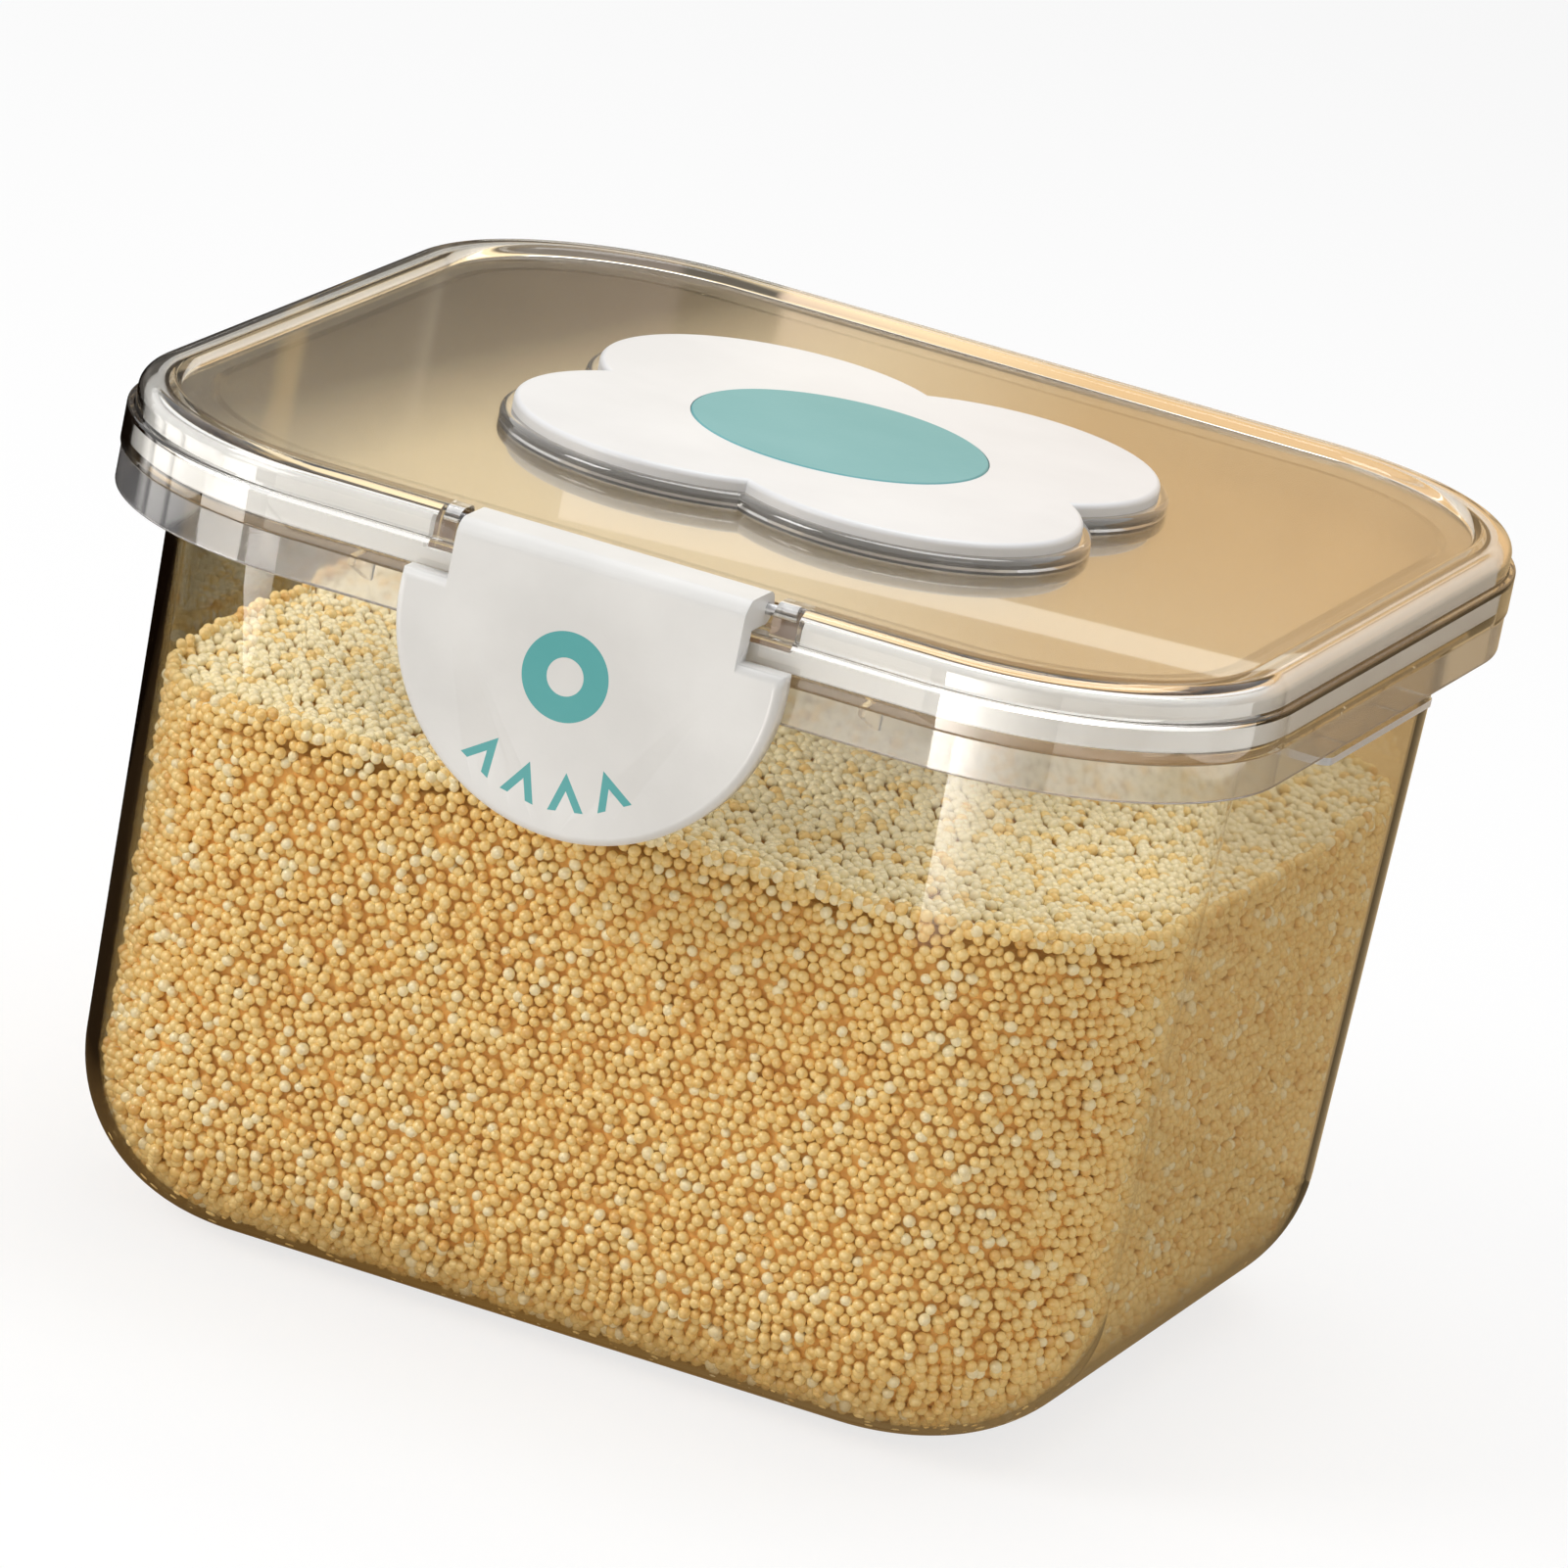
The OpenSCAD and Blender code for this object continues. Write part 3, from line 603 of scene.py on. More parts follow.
def make_gasket():
    """Silicone ring in the channel between rib and skirt, cut low where the latch notch crosses it."""
    slack = 0.12
    low, foot_top, crown_top, soft = 160.3, 164.0, 170.2, 1.4
    inside, out, crown = RIB_R + RIB_T + slack, SKIRT_IN - slack, RIDGE_IN - slack
    line = [(inside, low), (out - 0.4, low), (out, low + 0.4), (out, STEP_Z - 1.7), (crown, STEP_Z - 0.8)]
    line += arc(crown - soft, crown_top - soft, soft, 0, 90, 8)
    line += arc(inside + soft, crown_top - soft, soft, 90, 180, 8)
    ring = loft("seal_ring", rounded((LID_X, LID_Y), line), closed=True)
    end = NOTCH + CHEEK + 1
    combine(ring, prism("lip_cut", block(60, FRONT_Y, foot_top, ABOVE), -end, end, 270), "DIFFERENCE")
    finish_skin(ring)
    ring.data.materials.append(SEAL)
    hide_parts("lid_gasket")
    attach(ring, "lid")


make_tub()
make_lid()
make_gasket()


# ---------------------------------------------------------------- millet
GRAIN_TOP = 115.0  # height of the levelled top
PITCH_MM = 2.5  # distance between neighbours
ROW_MM = PITCH_MM * 0.86  # distance between rows
GRAIN_R = 1.25
SHELL = 3.0  # how far the grains' centres lie from the tub's inner wall
MOST_FACES = 180000  # most faces of one piece; of one piece, since larger ones lose detail in the export
rng = np.random.default_rng(7)


def wall_in(z):
    """How far the tub's flat inner walls lie beyond TUB_X, TUB_Y at height z."""
    if z >= BASE_R - INNER_R * math.sin(LEAN):
        return wall_out(z) - TUB_WALL / math.cos(LEAN)
    bend_at = wall_out(BASE_R) - BASE_R / math.cos(LEAN)
    return bend_at - INNER_SHIFT + math.sqrt(INNER_R ** 2 - (BASE_R - z) ** 2)


def bed_profile(inset):
    """(corner radius, height) and outward normals up the side of the bed, closely spaced.

    It lies by inset inside the tub's wall, and less so near the floor, which it rests on."""
    zs = TUB_FLOOR + (GRAIN_TOP - TUB_FLOOR) * (1 - np.cos(np.linspace(0, np.pi / 2, 900)))
    pts = np.array([[wall_in(z), z] for z in zs])
    t = np.gradient(pts, axis=0)
    t /= np.linalg.norm(t, axis=1)[:, None]
    n = np.column_stack([t[:, 1], -t[:, 0]])
    near_floor = np.clip((40 - zs) / 28, 0, 1)[:, None]
    return pts - n * (inset - (SHELL - GRAIN_R - 0.1) * near_floor), n


def spots_round(d, count, phase):
    """Points and outward directions round a rounded rectangle about TUB_X, TUB_Y with corner radius d."""
    sides = [2 * TUB_Y, d * math.pi / 2, 2 * TUB_X, d * math.pi / 2] * 2
    total = sum(sides)
    at = (np.arange(count) + phase) / count * total
    xy, out = np.zeros((count, 2)), np.zeros((count, 2))
    corners = [(TUB_X, -TUB_Y), (TUB_X, TUB_Y), (-TUB_X, TUB_Y), (-TUB_X, -TUB_Y)]
    start = 0.0
    for k in range(4):
        a0 = k * math.pi / 2
        dirn = np.array([math.cos(a0), math.sin(a0)])
        along = np.array([-dirn[1], dirn[0]])
        c0, c1 = np.array(corners[k]), np.array(corners[(k + 1) % 4])
        side, bend = sides[2 * k], sides[2 * k + 1]
        m = (at >= start) & (at < start + side)
        xy[m] = c0 + dirn * d + along * (at[m] - start)[:, None]
        out[m] = dirn
        start += side
        m = (at >= start) & (at < start + bend)
        ang = a0 + (at[m] - start) / max(d, 1e-6)
        out[m] = np.column_stack([np.cos(ang), np.sin(ang)])
        xy[m] = c1 + out[m] * d
        start += bend
    return xy, out


def in_outline(xy, d):
    """Which points lie inside the rounded rectangle about TUB_X, TUB_Y with corner radius d."""
    q = np.abs(xy) - np.array([TUB_X, TUB_Y])
    beyond = np.hypot(np.maximum(q[:, 0], 0), np.maximum(q[:, 1], 0))
    return beyond + np.minimum(np.maximum(q[:, 0], q[:, 1]), 0) < d


def side_spots():
    """Grain places and outward directions up the side of the bed, row by row."""
    prof, nrm = bed_profile(SHELL)
    s = np.concatenate([[0], np.cumsum(np.linalg.norm(np.diff(prof, axis=0), axis=1))])
    pos, out = [], []
    for i, at in enumerate(np.arange(0.5 * ROW_MM, s[-1], ROW_MM)):
        d, z = np.interp(at, s, prof[:, 0]), np.interp(at, s, prof[:, 1])
        nd, nz = np.interp(at, s, nrm[:, 0]), np.interp(at, s, nrm[:, 1])
        length = 4 * (TUB_X + TUB_Y) + 2 * math.pi * d
        xy, o = spots_round(d, int(length / PITCH_MM), 0.5 * (i % 2))
        pos.append(np.column_stack([xy, np.full(len(xy), z)]))
        out.append(np.column_stack([o * nd, np.full(len(xy), nz)]))
    return np.vstack(pos), np.vstack(out)


def flat_spots(d, z, up):
    """Grain places and outward directions on a level layer at height z."""
    xs = np.arange(-TUB_X - d, TUB_X + d, PITCH_MM)
    ys = np.arange(-TUB_Y - d, TUB_Y + d, ROW_MM)
    grid = np.array([[x + PITCH_MM / 2 * (j % 2), y] for j, y in enumerate(ys) for x in xs])
    grid = grid[in_outline(grid, d)]
    n = len(grid)
    return np.column_stack([grid, np.full(n, z)]), np.tile([0.0, 0.0, 1.0 if up else -1.0], (n, 1))


def top_height(xy):
    """Gentle unevenness of the levelled top, which dips towards the front left corner."""
    x, y = xy[:, 0], xy[:, 1]
    waves = 0.5 * np.sin(x / 31 + 0.6) * np.cos(y / 27) + 0.3 * np.sin(x / 12 + y / 17)
    return waves - 3.0 * np.clip(1 - np.hypot(x + 112, y + 95) / 45, 0, 1)


def ball(fine):
    """Unit icosahedron, with its faces split in four where fine is set."""
    g = (1 + 5 ** 0.5) / 2
    v = [(-1, g, 0), (1, g, 0), (-1, -g, 0), (1, -g, 0), (0, -1, g), (0, 1, g), (0, -1, -g),
         (0, 1, -g), (g, 0, -1), (g, 0, 1), (-g, 0, -1), (-g, 0, 1)]
    f = [(0, 11, 5), (0, 5, 1), (0, 1, 7), (0, 7, 10), (0, 10, 11), (1, 5, 9), (5, 11, 4),
         (11, 10, 2), (10, 7, 6), (7, 1, 8), (3, 9, 4), (3, 4, 2), (3, 2, 6), (3, 6, 8),
         (3, 8, 9), (4, 9, 5), (2, 4, 11), (6, 2, 10), (8, 6, 7), (9, 8, 1)]
    if fine:
        middle = {}
        split = []
        for a, b, c in f:
            m = []
            for edge in ((a, b), (b, c), (c, a)):
                key = tuple(sorted(edge))
                if key not in middle:
                    middle[key] = len(v)
                    v.append(tuple((v[key[0]][i] + v[key[1]][i]) / 2 for i in range(3)))
                m.append(middle[key])
            split += [(a, m[0], m[2]), (b, m[1], m[0]), (c, m[2], m[1]), tuple(m)]
        f = split
    v = np.array(v, float)
    return v / np.linalg.norm(v, axis=1)[:, None], np.array(f)


def rotations(n):
    """n random rotation matrices."""
    q = rng.normal(size=(n, 4))
    q /= np.linalg.norm(q, axis=1)[:, None]
    w, x, y, z = q.T
    return np.array([
        [1 - 2 * (y * y + z * z), 2 * (x * y - z * w), 2 * (x * z + y * w)],
        [2 * (x * y + z * w), 1 - 2 * (x * x + z * z), 2 * (y * z - x * w)],
        [2 * (x * z - y * w), 2 * (y * z + x * w), 1 - 2 * (x * x + y * y)],
    ]).transpose(2, 0, 1)


def mesh_object(name, verts, faces, mats, index=None):
    """A smooth mesh piece from arrays of vertices in mm and triangles."""
    me = bpy.data.meshes.new(name)
    n, f = len(verts), len(faces)
    me.vertices.add(n)
    me.vertices.foreach_set("co", (np.asarray(verts, np.float32) * MM).ravel())
    me.loops.add(3 * f)
    me.loops.foreach_set("vertex_index", np.asarray(faces, np.int32).ravel())
    me.polygons.add(f)
    me.polygons.foreach_set("loop_start", np.arange(0, 3 * f, 3, dtype=np.int32))
    me.polygons.foreach_set("loop_total", np.full(f, 3, np.int32))
    for m in mats:
        me.materials.append(m)
    if index is not None:
        me.polygons.foreach_set("material_index", np.asarray(index, np.int32))
    me.polygons.foreach_set("use_smooth", np.ones(f, bool))
    me.update(calc_edges=True)
    me.validate()
    ob = bpy.data.objects.new(name, me)
    bpy.context.scene.collection.objects.link(ob)
    return ob


def grain_material(name, colour, deep):
    m, nt, p, _ = new_material(name)
    mottle(nt, p, 900.0, 2.0, deep, colour)
    p.inputs["Roughness"].default_value = 0.26
    p.inputs["Specular IOR Level"].default_value = 0.9
    return m


GRAIN = [
    grain_material("millet_cream", (1.0, 0.83, 0.44), (0.97, 0.74, 0.34)),
    grain_material("millet_gold", (0.99, 0.77, 0.36), (0.92, 0.65, 0.26)),
    grain_material("millet_deep", (0.9, 0.62, 0.25), (0.8, 0.5, 0.17)),
    grain_material("millet_pale", (1.0, 0.97, 0.77), (1.0, 0.92, 0.65)),
]
# How many of the grains have each of these materials. The top layer takes mostly pale grains: painted light,
# standing for the light from above on the levelled top.
SHARES = {
    "side": [0.5, 0.34, 0.06, 0.1],
    # painted light: mostly pale grains make the top lighter than the side, as if lit from above
    "top": [0.16, 0.05, 0.0, 0.79],
    "low": [0.5, 0.34, 0.06, 0.1],
}


def make_millet():
    """Layers of loose grains against the wall, on the floor and on top; the bed fills what is between."""
    side, side_n = side_spots()
    top, top_n = flat_spots(wall_in(GRAIN_TOP) - SHELL, GRAIN_TOP - GRAIN_R, True)
    top[:, 2] += top_height(top)
    low, low_n = flat_spots(wall_in(TUB_FLOOR + 0.01) - 0.4, TUB_FLOOR + GRAIN_R + 0.1, False)
    fade = 12
    near_top = (side[:, 2] - GRAIN_TOP + fade) / fade
    side[:, 2] += np.where(near_top > 0, top_height(side) * near_top, 0)
    for part, pos, nrm in (("side", side, side_n), ("top", top, top_n), ("low", low, low_n)):
        order = np.argsort(pos[:, 2] if part == "side" else pos[:, 1], kind="stable")
        pos, nrm = pos[order], nrm[order]
        n = len(pos)
        pos = pos + rng.uniform(-0.24, 0.24, (n, 3)) * PITCH_MM
        pos -= nrm * rng.uniform(0, 0.5, n)[:, None]
        size = rng.uniform(0.88, 1.12, n) * GRAIN_R
        v, f = ball(part != "low")
        shape = v[None] * np.array([1.1, 0.97, 0.97])
        pts = np.einsum("nij,nvj->nvi", rotations(n), np.repeat(shape, n, 0) * size[:, None, None])
        pts += pos[:, None]
        pick = rng.choice(len(GRAIN), n, p=SHARES[part])
        most = MOST_FACES // len(f)
        for k, a in enumerate(range(0, n, most)):
            b = min(a + most, n)
            faces = (f[None] + np.arange(b - a)[:, None, None] * len(v)).reshape(-1, 3)
            index = np.repeat(pick[a:b], len(f))
            ob = mesh_object(f"millet_{part}_{k + 1}", pts[a:b].reshape(-1, 3), faces, GRAIN, index)
            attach(ob, "bin")


def make_bed():
    """Closed core just under the grains, so that no light shows between them. It stands for the grains deeper
    in the bed; its colour, darker and redder than theirs, is painted shade in the gaps between the grains.
    """
    prof, _ = bed_profile(SHELL + 0.9)
    keep = prof[::30]
    keep = keep[keep[:, 0] > 3]
    keep[-1, 1] = GRAIN_TOP - 6.0
    count = 240
    rows = [np.column_stack([spots_round(d, count, 0.0)[0], np.full(count, z)]) for d, z in keep]
    faces = []
    for r in range(len(keep) - 1):
        for i in range(count):
            a, b = r * count + i, r * count + (i + 1) % count
            faces += [(a, b, b + count), (a, b + count, a + count)]
    low, high = len(keep) * count, len(keep) * count + 1
    verts = np.vstack([*rows, [0, 0, keep[0, 1]], [0, 0, keep[-1, 1]]])
    last = (len(keep) - 1) * count
    for i in range(count):
        faces += [(low, (i + 1) % count, i), (high, last + i, last + (i + 1) % count)]
    m, nt, p, _ = new_material("millet_core_gap_shade")
    # painted shade: a darker, redder orange than the grains, for the shade in the gaps between them
    mottle(nt, p, 550.0, 4.0, (0.8, 0.43, 0.12), (0.98, 0.62, 0.22))
    p.inputs["Roughness"].default_value = 0.8
    ob = mesh_object("millet_bed", verts, faces, [m])
    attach(ob, "bin")


make_bed()
make_millet()


# ---------------------------------------------------------------- latch with its inlaid marks
RING_X, RING_Z, RING_R, RING_HOLE = -3.0, 148.9, 9.2, 3.9
# Chevrons stand on an arc about this place, at these angles from straight down.
MARKS_X, MARKS_Z, MARKS_R = -2.4, 152.6, 26.6
MARK_ANGLES = (-31, -11, 9, 29)
INLAY_DEEP = 0.4


def front_slab(name, line, y0, y1):
    """Closed slab of an outline of (x, z), between two depths."""
    return closed_ends(name, [(x, y, z) for y in (y0, y1) for x, z in line])


def lift_mark(angle):
    """Chevron that points up, at its place on the arc under the ring."""
    half_w, half_h, stroke = 3.8, 3.9, 1.8
    tip = half_h - 2 * half_h * stroke / half_w
    line = [(-half_w, -half_h), (0, half_h), (half_w, -half_h), (half_w - stroke, -half_h), (0, tip)]
    line.append((stroke - half_w, -half_h))
    c, s = math.cos(math.radians(angle)), math.sin(math.radians(angle))
    at_x, at_z = MARKS_X + MARKS_R * s, MARKS_Z - MARKS_R * c
    return [(at_x + c * x - s * z, at_z + s * x + c * z) for x, z in line]


def make_marks():
    """Teal ring and chevrons, flush with the latch's face."""
    back = LATCH_FRONT + INLAY_DEEP
    disc, hole = (arc(RING_X, RING_Z, r, 0, 356.25, 95) for r in (RING_R, RING_HOLE))
    ring = front_slab("latch_ring_inlay", disc, LATCH_FRONT, back)
    combine(ring, front_slab("core", hole, LATCH_FRONT - 1, back + 1), "DIFFERENCE")
    marks = join([front_slab("latch_lift_marks", lift_mark(a), LATCH_FRONT, back) for a in MARK_ANGLES])
    return ring, marks


def make_latch():
    """The latch as in the CAD, with pockets cut for its marks."""
    latch = bpy.data.objects.new("latch_plate", nodes["latch"].data.copy())
    bpy.context.scene.collection.objects.link(latch)
    latch.data.materials.clear()
    bpy.context.view_layer.update()
    for mark in make_marks():
        pocket = bpy.data.objects.new("pocket", mark.data.copy())
        bpy.context.scene.collection.objects.link(pocket)
        for v in pocket.data.vertices:
            if v.co.y < (LATCH_FRONT + 0.1) * MM:
                v.co.y = (LATCH_FRONT - 1) * MM
        combine(latch, pocket, "DIFFERENCE")
        mark.data.materials.append(PRINT)
        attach(mark, "latch")
    finish_skin(latch, 30)
    latch.data.materials.append(WHITE)
    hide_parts("latch")
    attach(latch, "latch")


make_latch()


# ---------------------------------------------------------------- studio
FLOOR_HALF = 6.0  # in metres


def straight_rays(nt):
    """1 for what the camera sees directly, in a reflection or through something clear."""
    path = nt.nodes.new("ShaderNodeLightPath")
    seen = larger(nt, path.outputs["Is Camera Ray"], path.outputs["Is Glossy Ray"])
    return larger(nt, seen, path.outputs["Is Transmission Ray"])


def blend_colours(nt, share, a, b):
    """Colour that is a where share is 0 and b where it is 1."""
    mix = nt.nodes.new("ShaderNodeMix")
    mix.data_type = "RGBA"
    for socket, value in ((0, share), (6, a), (7, b)):
        if isinstance(value, tuple):
            mix.inputs[socket].default_value = (*value, 1)
        else:
            nt.links.new(value, mix.inputs[socket])
    return mix.outputs[2]


def make_floor():
    """Floor that shows white and throws a slightly warm light up at the bin."""
    h = FLOOR_HALF
    me = bpy.data.meshes.new("floor")
    me.from_pydata([(-h, -h, 0), (h, -h, 0), (h, h, 0), (-h, h, 0)], [], [(0, 1, 2, 3)])
    ob = bpy.data.objects.new("floor", me)
    bpy.context.scene.collection.objects.link(ob)
    ob.location.z = -0.0002
    m, nt, p, out = new_material("floor_white")
    seen = straight_rays(nt)
    nt.links.new(blend_colours(nt, seen, (0.86, 0.82, 0.76), (0.9, 0.9, 0.9)), p.inputs["Base Color"])
    p.inputs["Roughness"].default_value = 0.9
    p.inputs["Specular IOR Level"].default_value = 0.0
    glow = nt.nodes.new("ShaderNodeEmission")
    share = nt.nodes.new("ShaderNodeMath")
    share.operation = "MULTIPLY"
    share.inputs[1].default_value = 0.75
    nt.links.new(seen, share.inputs[0])
    mix_shaders(nt, share.outputs["Value"], p.outputs["BSDF"], glow.outputs["Emission"], out)
    me.materials.append(m)


def make_world():
    """White surroundings, dimmer where they only light the bin."""
    w = bpy.data.worlds.new("studio")
    bpy.context.scene.world = w
    w.use_nodes = True
    nt = w.node_tree
    bg = nt.nodes["Background"]
    bg.inputs["Color"].default_value = (1, 1, 1, 1)
    level = nt.nodes.new("ShaderNodeMapRange")
    level.inputs["To Min"].default_value = 0.55
    level.inputs["To Max"].default_value = 1.0
    nt.links.new(straight_rays(nt), level.inputs["Value"])
    nt.links.new(level.outputs["Result"], bg.inputs["Strength"])


def area(name, at, size, power):
    """Square lamp that points at the bin; place and size in metres."""
    d = bpy.data.lights.new(name, "AREA")
    d.size = size
    d.energy = power
    ob = bpy.data.objects.new(name, d)
    bpy.context.scene.collection.objects.link(ob)
    ob.location = at
    ob.rotation_euler = (Vector((0, 0, 0.1)) - Vector(at)).to_track_quat("-Z", "Y").to_euler()


def only_reflected(ob, through):
    """Stage piece that the camera and the lamps pass by: it shows in shiny pieces, and in or behind clear
    ones where through is set."""
    ob.visible_camera = False
    ob.visible_diffuse = False
    ob.visible_shadow = False
    ob.visible_volume_scatter = False
    ob.visible_transmission = through


def card(name, corners, through=True):
    """Glowing polygon with corners in mm; through says whether it shows behind clear plastic too."""
    me = bpy.data.meshes.new(name)
    me.from_pydata([tuple(v * MM for v in c) for c in corners], [], [tuple(range(len(corners)))])
    ob = bpy.data.objects.new(name, me)
    bpy.context.scene.collection.objects.link(ob)
    m = bpy.data.materials.new(name)
    m.use_nodes = True
    nt = m.node_tree
    nt.nodes.remove(nt.nodes["Principled BSDF"])
    glow = nt.nodes.new("ShaderNodeEmission")
    nt.links.new(glow.outputs["Emission"], nt.nodes["Material Output"].inputs["Surface"])
    me.materials.append(m)
    only_reflected(ob, through)
    return nt, glow


def scale_along(nt, direction, low, high):
    """0 to 1 between two places in mm along a direction."""
    tc = nt.nodes.new("ShaderNodeTexCoord")
    along = nt.nodes.new("ShaderNodeVectorMath")
    along.operation = "DOT_PRODUCT"
    nt.links.new(tc.outputs["Object"], along.inputs[0])
    along.inputs[1].default_value = direction
    share = nt.nodes.new("ShaderNodeMapRange")
    share.inputs["From Min"].default_value = low * MM
    share.inputs["From Max"].default_value = high * MM
    nt.links.new(along.outputs["Value"], share.inputs["Value"])
    return share.outputs["Result"]


def scale_of(nt, axis, low, high):
    return scale_along(nt, [float(axis == a) for a in "XYZ"], low, high)


def show_in_reflections(nt, glow, keep=None):
    """Lets a card vanish where it would be seen straight through clear plastic, except where keep is 1."""
    seen = nt.nodes.new("ShaderNodeLightPath").outputs["Glossy Depth"]
    if keep is not None:
        seen = larger(nt, seen, keep)
    clear = nt.nodes.new("ShaderNodeBsdfTransparent")
    out = nt.nodes["Material Output"]
    mix_shaders(nt, seen, clear.outputs["BSDF"], glow.outputs["Emission"], out)


ROOM_Y, ROOM_LOW, ROOM_HIGH = 165.0, -300.0, 200.0


def across_room(nt, stops):
    """Colour from left to right, from (x in mm, colour) stops."""
    places = [((x - ROOM_LOW) / (ROOM_HIGH - ROOM_LOW), colour) for x, colour in stops]
    return ramp(nt, scale_of(nt, "X", ROOM_LOW, ROOM_HIGH), places)


def make_wall():
    """Warm wall close behind the bin, dark at its lower left."""
    # Below the rim, seen through the empty top of the tub.
    low_stops = [
        (-220, (0.004, 0.002, 0.001)),
        (-165, (0.01, 0.006, 0.003)),
        (-110, (0.09, 0.066, 0.04)),
        (-20, (0.2, 0.15, 0.09)),
        (60, (0.8, 0.6, 0.34)),
        (110, (0.5, 0.36, 0.19)),
        (150, (0.26, 0.18, 0.09)),
    ]
    # Just above the lid, mirrored in the far part of its panel, with thin upright streaks.
    grey, amber, pale, tan = (0.1, 0.09, 0.08), (0.5, 0.36, 0.18), (0.2, 0.17, 0.13), (0.42, 0.36, 0.28)
    brown = (0.12, 0.1, 0.07)
    far_stops = [
        (-240, grey), (-188, grey), (-186, amber), (-183, amber), (-181, grey),
        (-156, pale), (-154, tan), (-152, pale),
        (-99, (0.26, 0.21, 0.17)), (-98, brown), (-75, brown),
        (-73, (0.98, 0.75, 0.55)), (-20, (0.8, 0.57, 0.36)),
        (60, (0.82, 0.58, 0.36)), (160, (0.8, 0.56, 0.34)),
    ]
    # Higher up, mirrored in the near part of the panel.
    near_stops = [
        (-220, (0.9, 0.75, 0.5)),
        (-150, (1.3, 1.05, 0.66)),
        (-60, (1.25, 1.0, 0.64)),
        (0, (0.95, 0.64, 0.32)),
        (160, (0.82, 0.54, 0.28)),
    ]
    corners = [(-700, ROOM_Y, 0), (700, ROOM_Y, 0), (700, ROOM_Y, 290), (-700, ROOM_Y, 290)]
    nt, glow = card("room_wall", corners)
    slope = scale_along(nt, (0.5, 0, 1), 143, 165)
    high = blend_colours(nt, slope, across_room(nt, far_stops), across_room(nt, near_stops))
    rise = scale_of(nt, "Z", 165, 178)
    nt.links.new(blend_colours(nt, rise, across_room(nt, low_stops), high), glow.inputs["Color"])
    show_in_reflections(nt, glow, scale_along(nt, (0, 0, -1), -178, -165))


def make_beam():
    """Bright slanting line that the panel of the lid mirrors."""
    line = [(-115, 238.5), (60, 231.5), (60, 236.5), (-115, 245)]
    nt, glow = card("room_beam", [(x, ROOM_Y - 2, z) for x, z in line])
    glow.inputs["Color"].default_value = (1.0, 0.86, 0.66, 1)
    glow.inputs["Strength"].default_value = 1.7
    show_in_reflections(nt, glow)


def make_table():
    """Warm table just under the bin, dark on the left."""
    stops = [
        (-170, (0.02, 0.012, 0.006)),
        (-120, (0.1, 0.06, 0.024)),
        (0, (0.2, 0.115, 0.035)),
        (120, (0.2, 0.14, 0.07)),
    ]
    height = 0.05
    corners = [(-700, -500, height), (700, -500, height), (700, ROOM_Y, height), (-700, ROOM_Y, height)]
    nt, glow = card("room_table", corners)
    nt.links.new(across_room(nt, stops), glow.inputs["Color"])


def window(name, corners, across, fade_x, up, fade_z, power):
    """Bright card that shows only in reflections, dimmed along it and up it by the two fades."""
    nt, glow = card(name, corners, False)
    sideways = ramp(nt, scale_of(nt, *across), [(at, (v, v, v)) for at, v in fade_x])
    rising = ramp(nt, scale_of(nt, "Z", *up), [(at, (v, 0.97 * v, 0.92 * v)) for at, v in fade_z])
    both = nt.nodes.new("ShaderNodeVectorMath")
    both.operation = "MULTIPLY"
    nt.links.new(sideways, both.inputs[0])
    nt.links.new(rising, both.inputs[1])
    nt.links.new(both.outputs["Vector"], glow.inputs["Color"])
    glow.inputs["Strength"].default_value = power


def front_window(name, x0, x1, z0, z1, fade_x, fade_z, power):
    """Window card far in front of the bin."""
    y = -408
    corners = [(x0, y, z0), (x1, y, z0), (x1, y, z1), (x0, y, z1)]
    window(name, corners, ("X", x0, x1), fade_x, (z0, z1), fade_z, power)


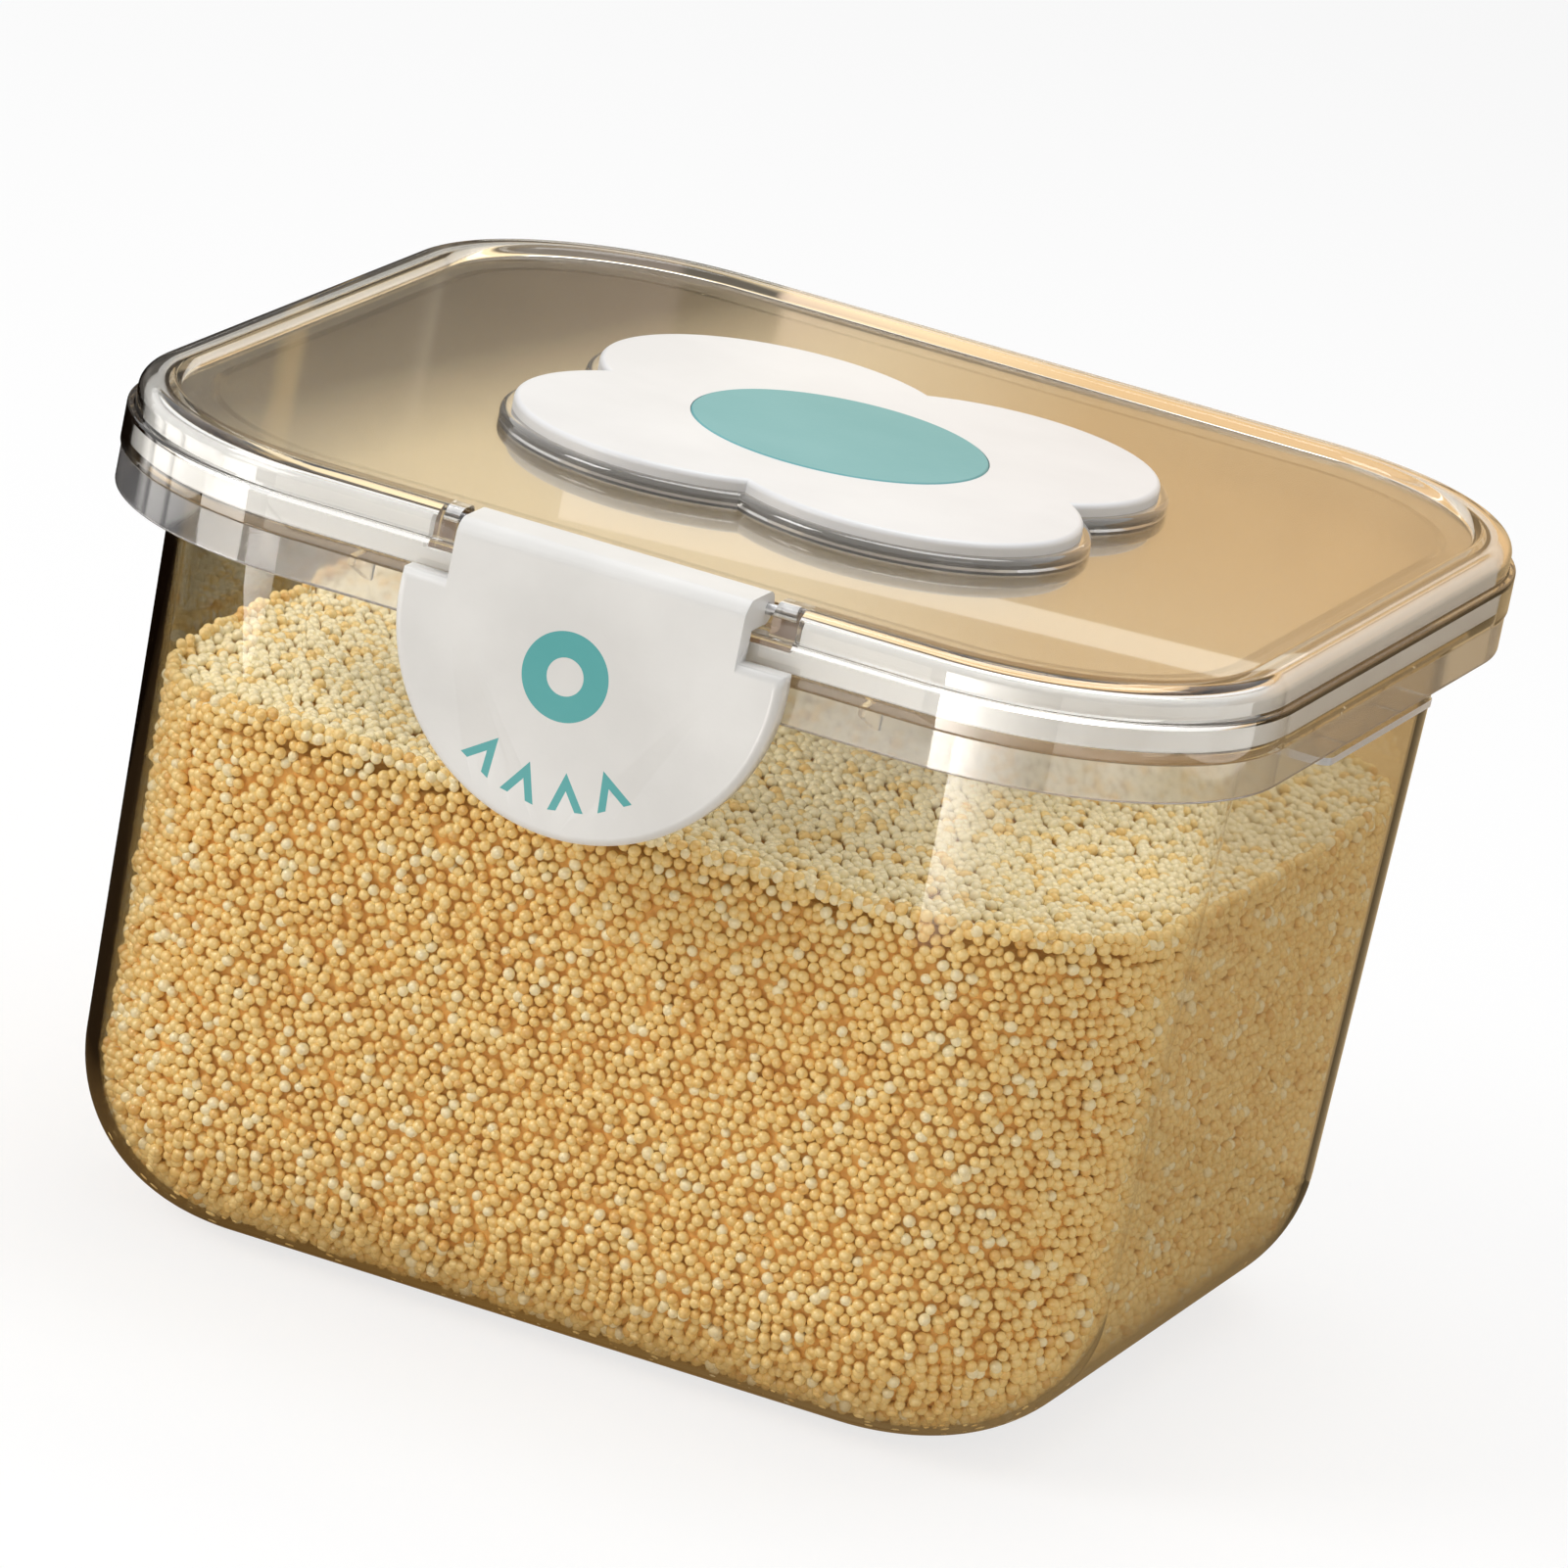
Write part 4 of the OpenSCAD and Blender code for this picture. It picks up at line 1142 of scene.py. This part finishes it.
def make_windows():
    """Cards for the highlights: of the front wall and band from in front, the front left corner and the
    panel's left from the left, and the front right corner from the right."""
    even = [(0, 1), (1, 1)]
    fall = [(0, 1), (0.14, 0.75), (0.36, 0.28), (0.7, 0.1), (1, 0.04)]
    rise = [(0, 0), (0.1, 0.3), (0.27, 0.5), (0.6, 1)]
    front_window("window_right", 20, 320, 2, 122, fall, rise, 22.0)
    front_window("window_wide", -255, -20, 8, 60, even, [(0, 0), (0.6, 1)], 0.6)
    front_window("window_skirt", -255, 22, 60, 72, even, even, 3.4)
    front_window("window_band", -255, -16, 73, 98, even, [(0, 0), (0.06, 1)], 3.0)

    left, y0, y1, z0, z1 = -350, -280, 40, 80, 140
    panes = [(0, 0), (0.1, 1), (0.42, 1), (0.45, 0.05), (0.5, 0.9)]
    panes += [(0.64, 0.8), (0.68, 0.05), (0.74, 0.5), (0.85, 0)]
    corners = [(left, y1, z0), (left, y0, z0), (left, y0, z1), (left, y1, z1)]
    window("window_side", corners, ("Y", y0, y1), panes, (z0, z1), [(0, 0.6), (0.3, 1)], 6.0)
    pane = [(-425, -14), (-380, -14), (-274, 38), (-243, 74), (-243, 92), (-425, 92)]
    corners = [(left, y, z) for y, z in pane]
    climb = [(0, 0), (0.2, 0.5), (0.5, 1)]
    window("window_left", corners, ("Y", -425, -243), [(0, 1), (1, 0.8)], (-14, 92), climb, 10.0)

    right = 350
    sill = [(-460, 42), (-310, 70), (-245, 80), (-93, 94), (121, 75)]
    near = sill[:4]
    corners = [(right, y, z - 24) for y, z in near] + [(right, y, z) for y, z in reversed(near)]
    window("window_low", corners, ("Y", -460, -93), [(0, 1), (0.6, 0.8), (1, 0)], (0, 100), even, 3.4)
    corners = [(right, y, z) for y, z in sill] + [(right, y, z + 40) for y, z in reversed(sill)]
    window("window_corner", corners, ("Y", -460, 121), even, (40, 120), even, 2.6)


make_floor()
make_world()
make_wall()
make_beam()
make_table()
make_windows()
area("key", (-1.3, -1.2, 1.3), 0.9, 19)
area("fill", (1.3, -0.9, 0.8), 0.7, 1.0)
area("top", (0.1, 0.4, 1.6), 1.0, 11)

scene = bpy.context.scene
scene.view_settings.view_transform = "Standard"
scene.cycles.max_bounces = 16
scene.cycles.transmission_bounces = 16
scene.cycles.transparent_max_bounces = 24
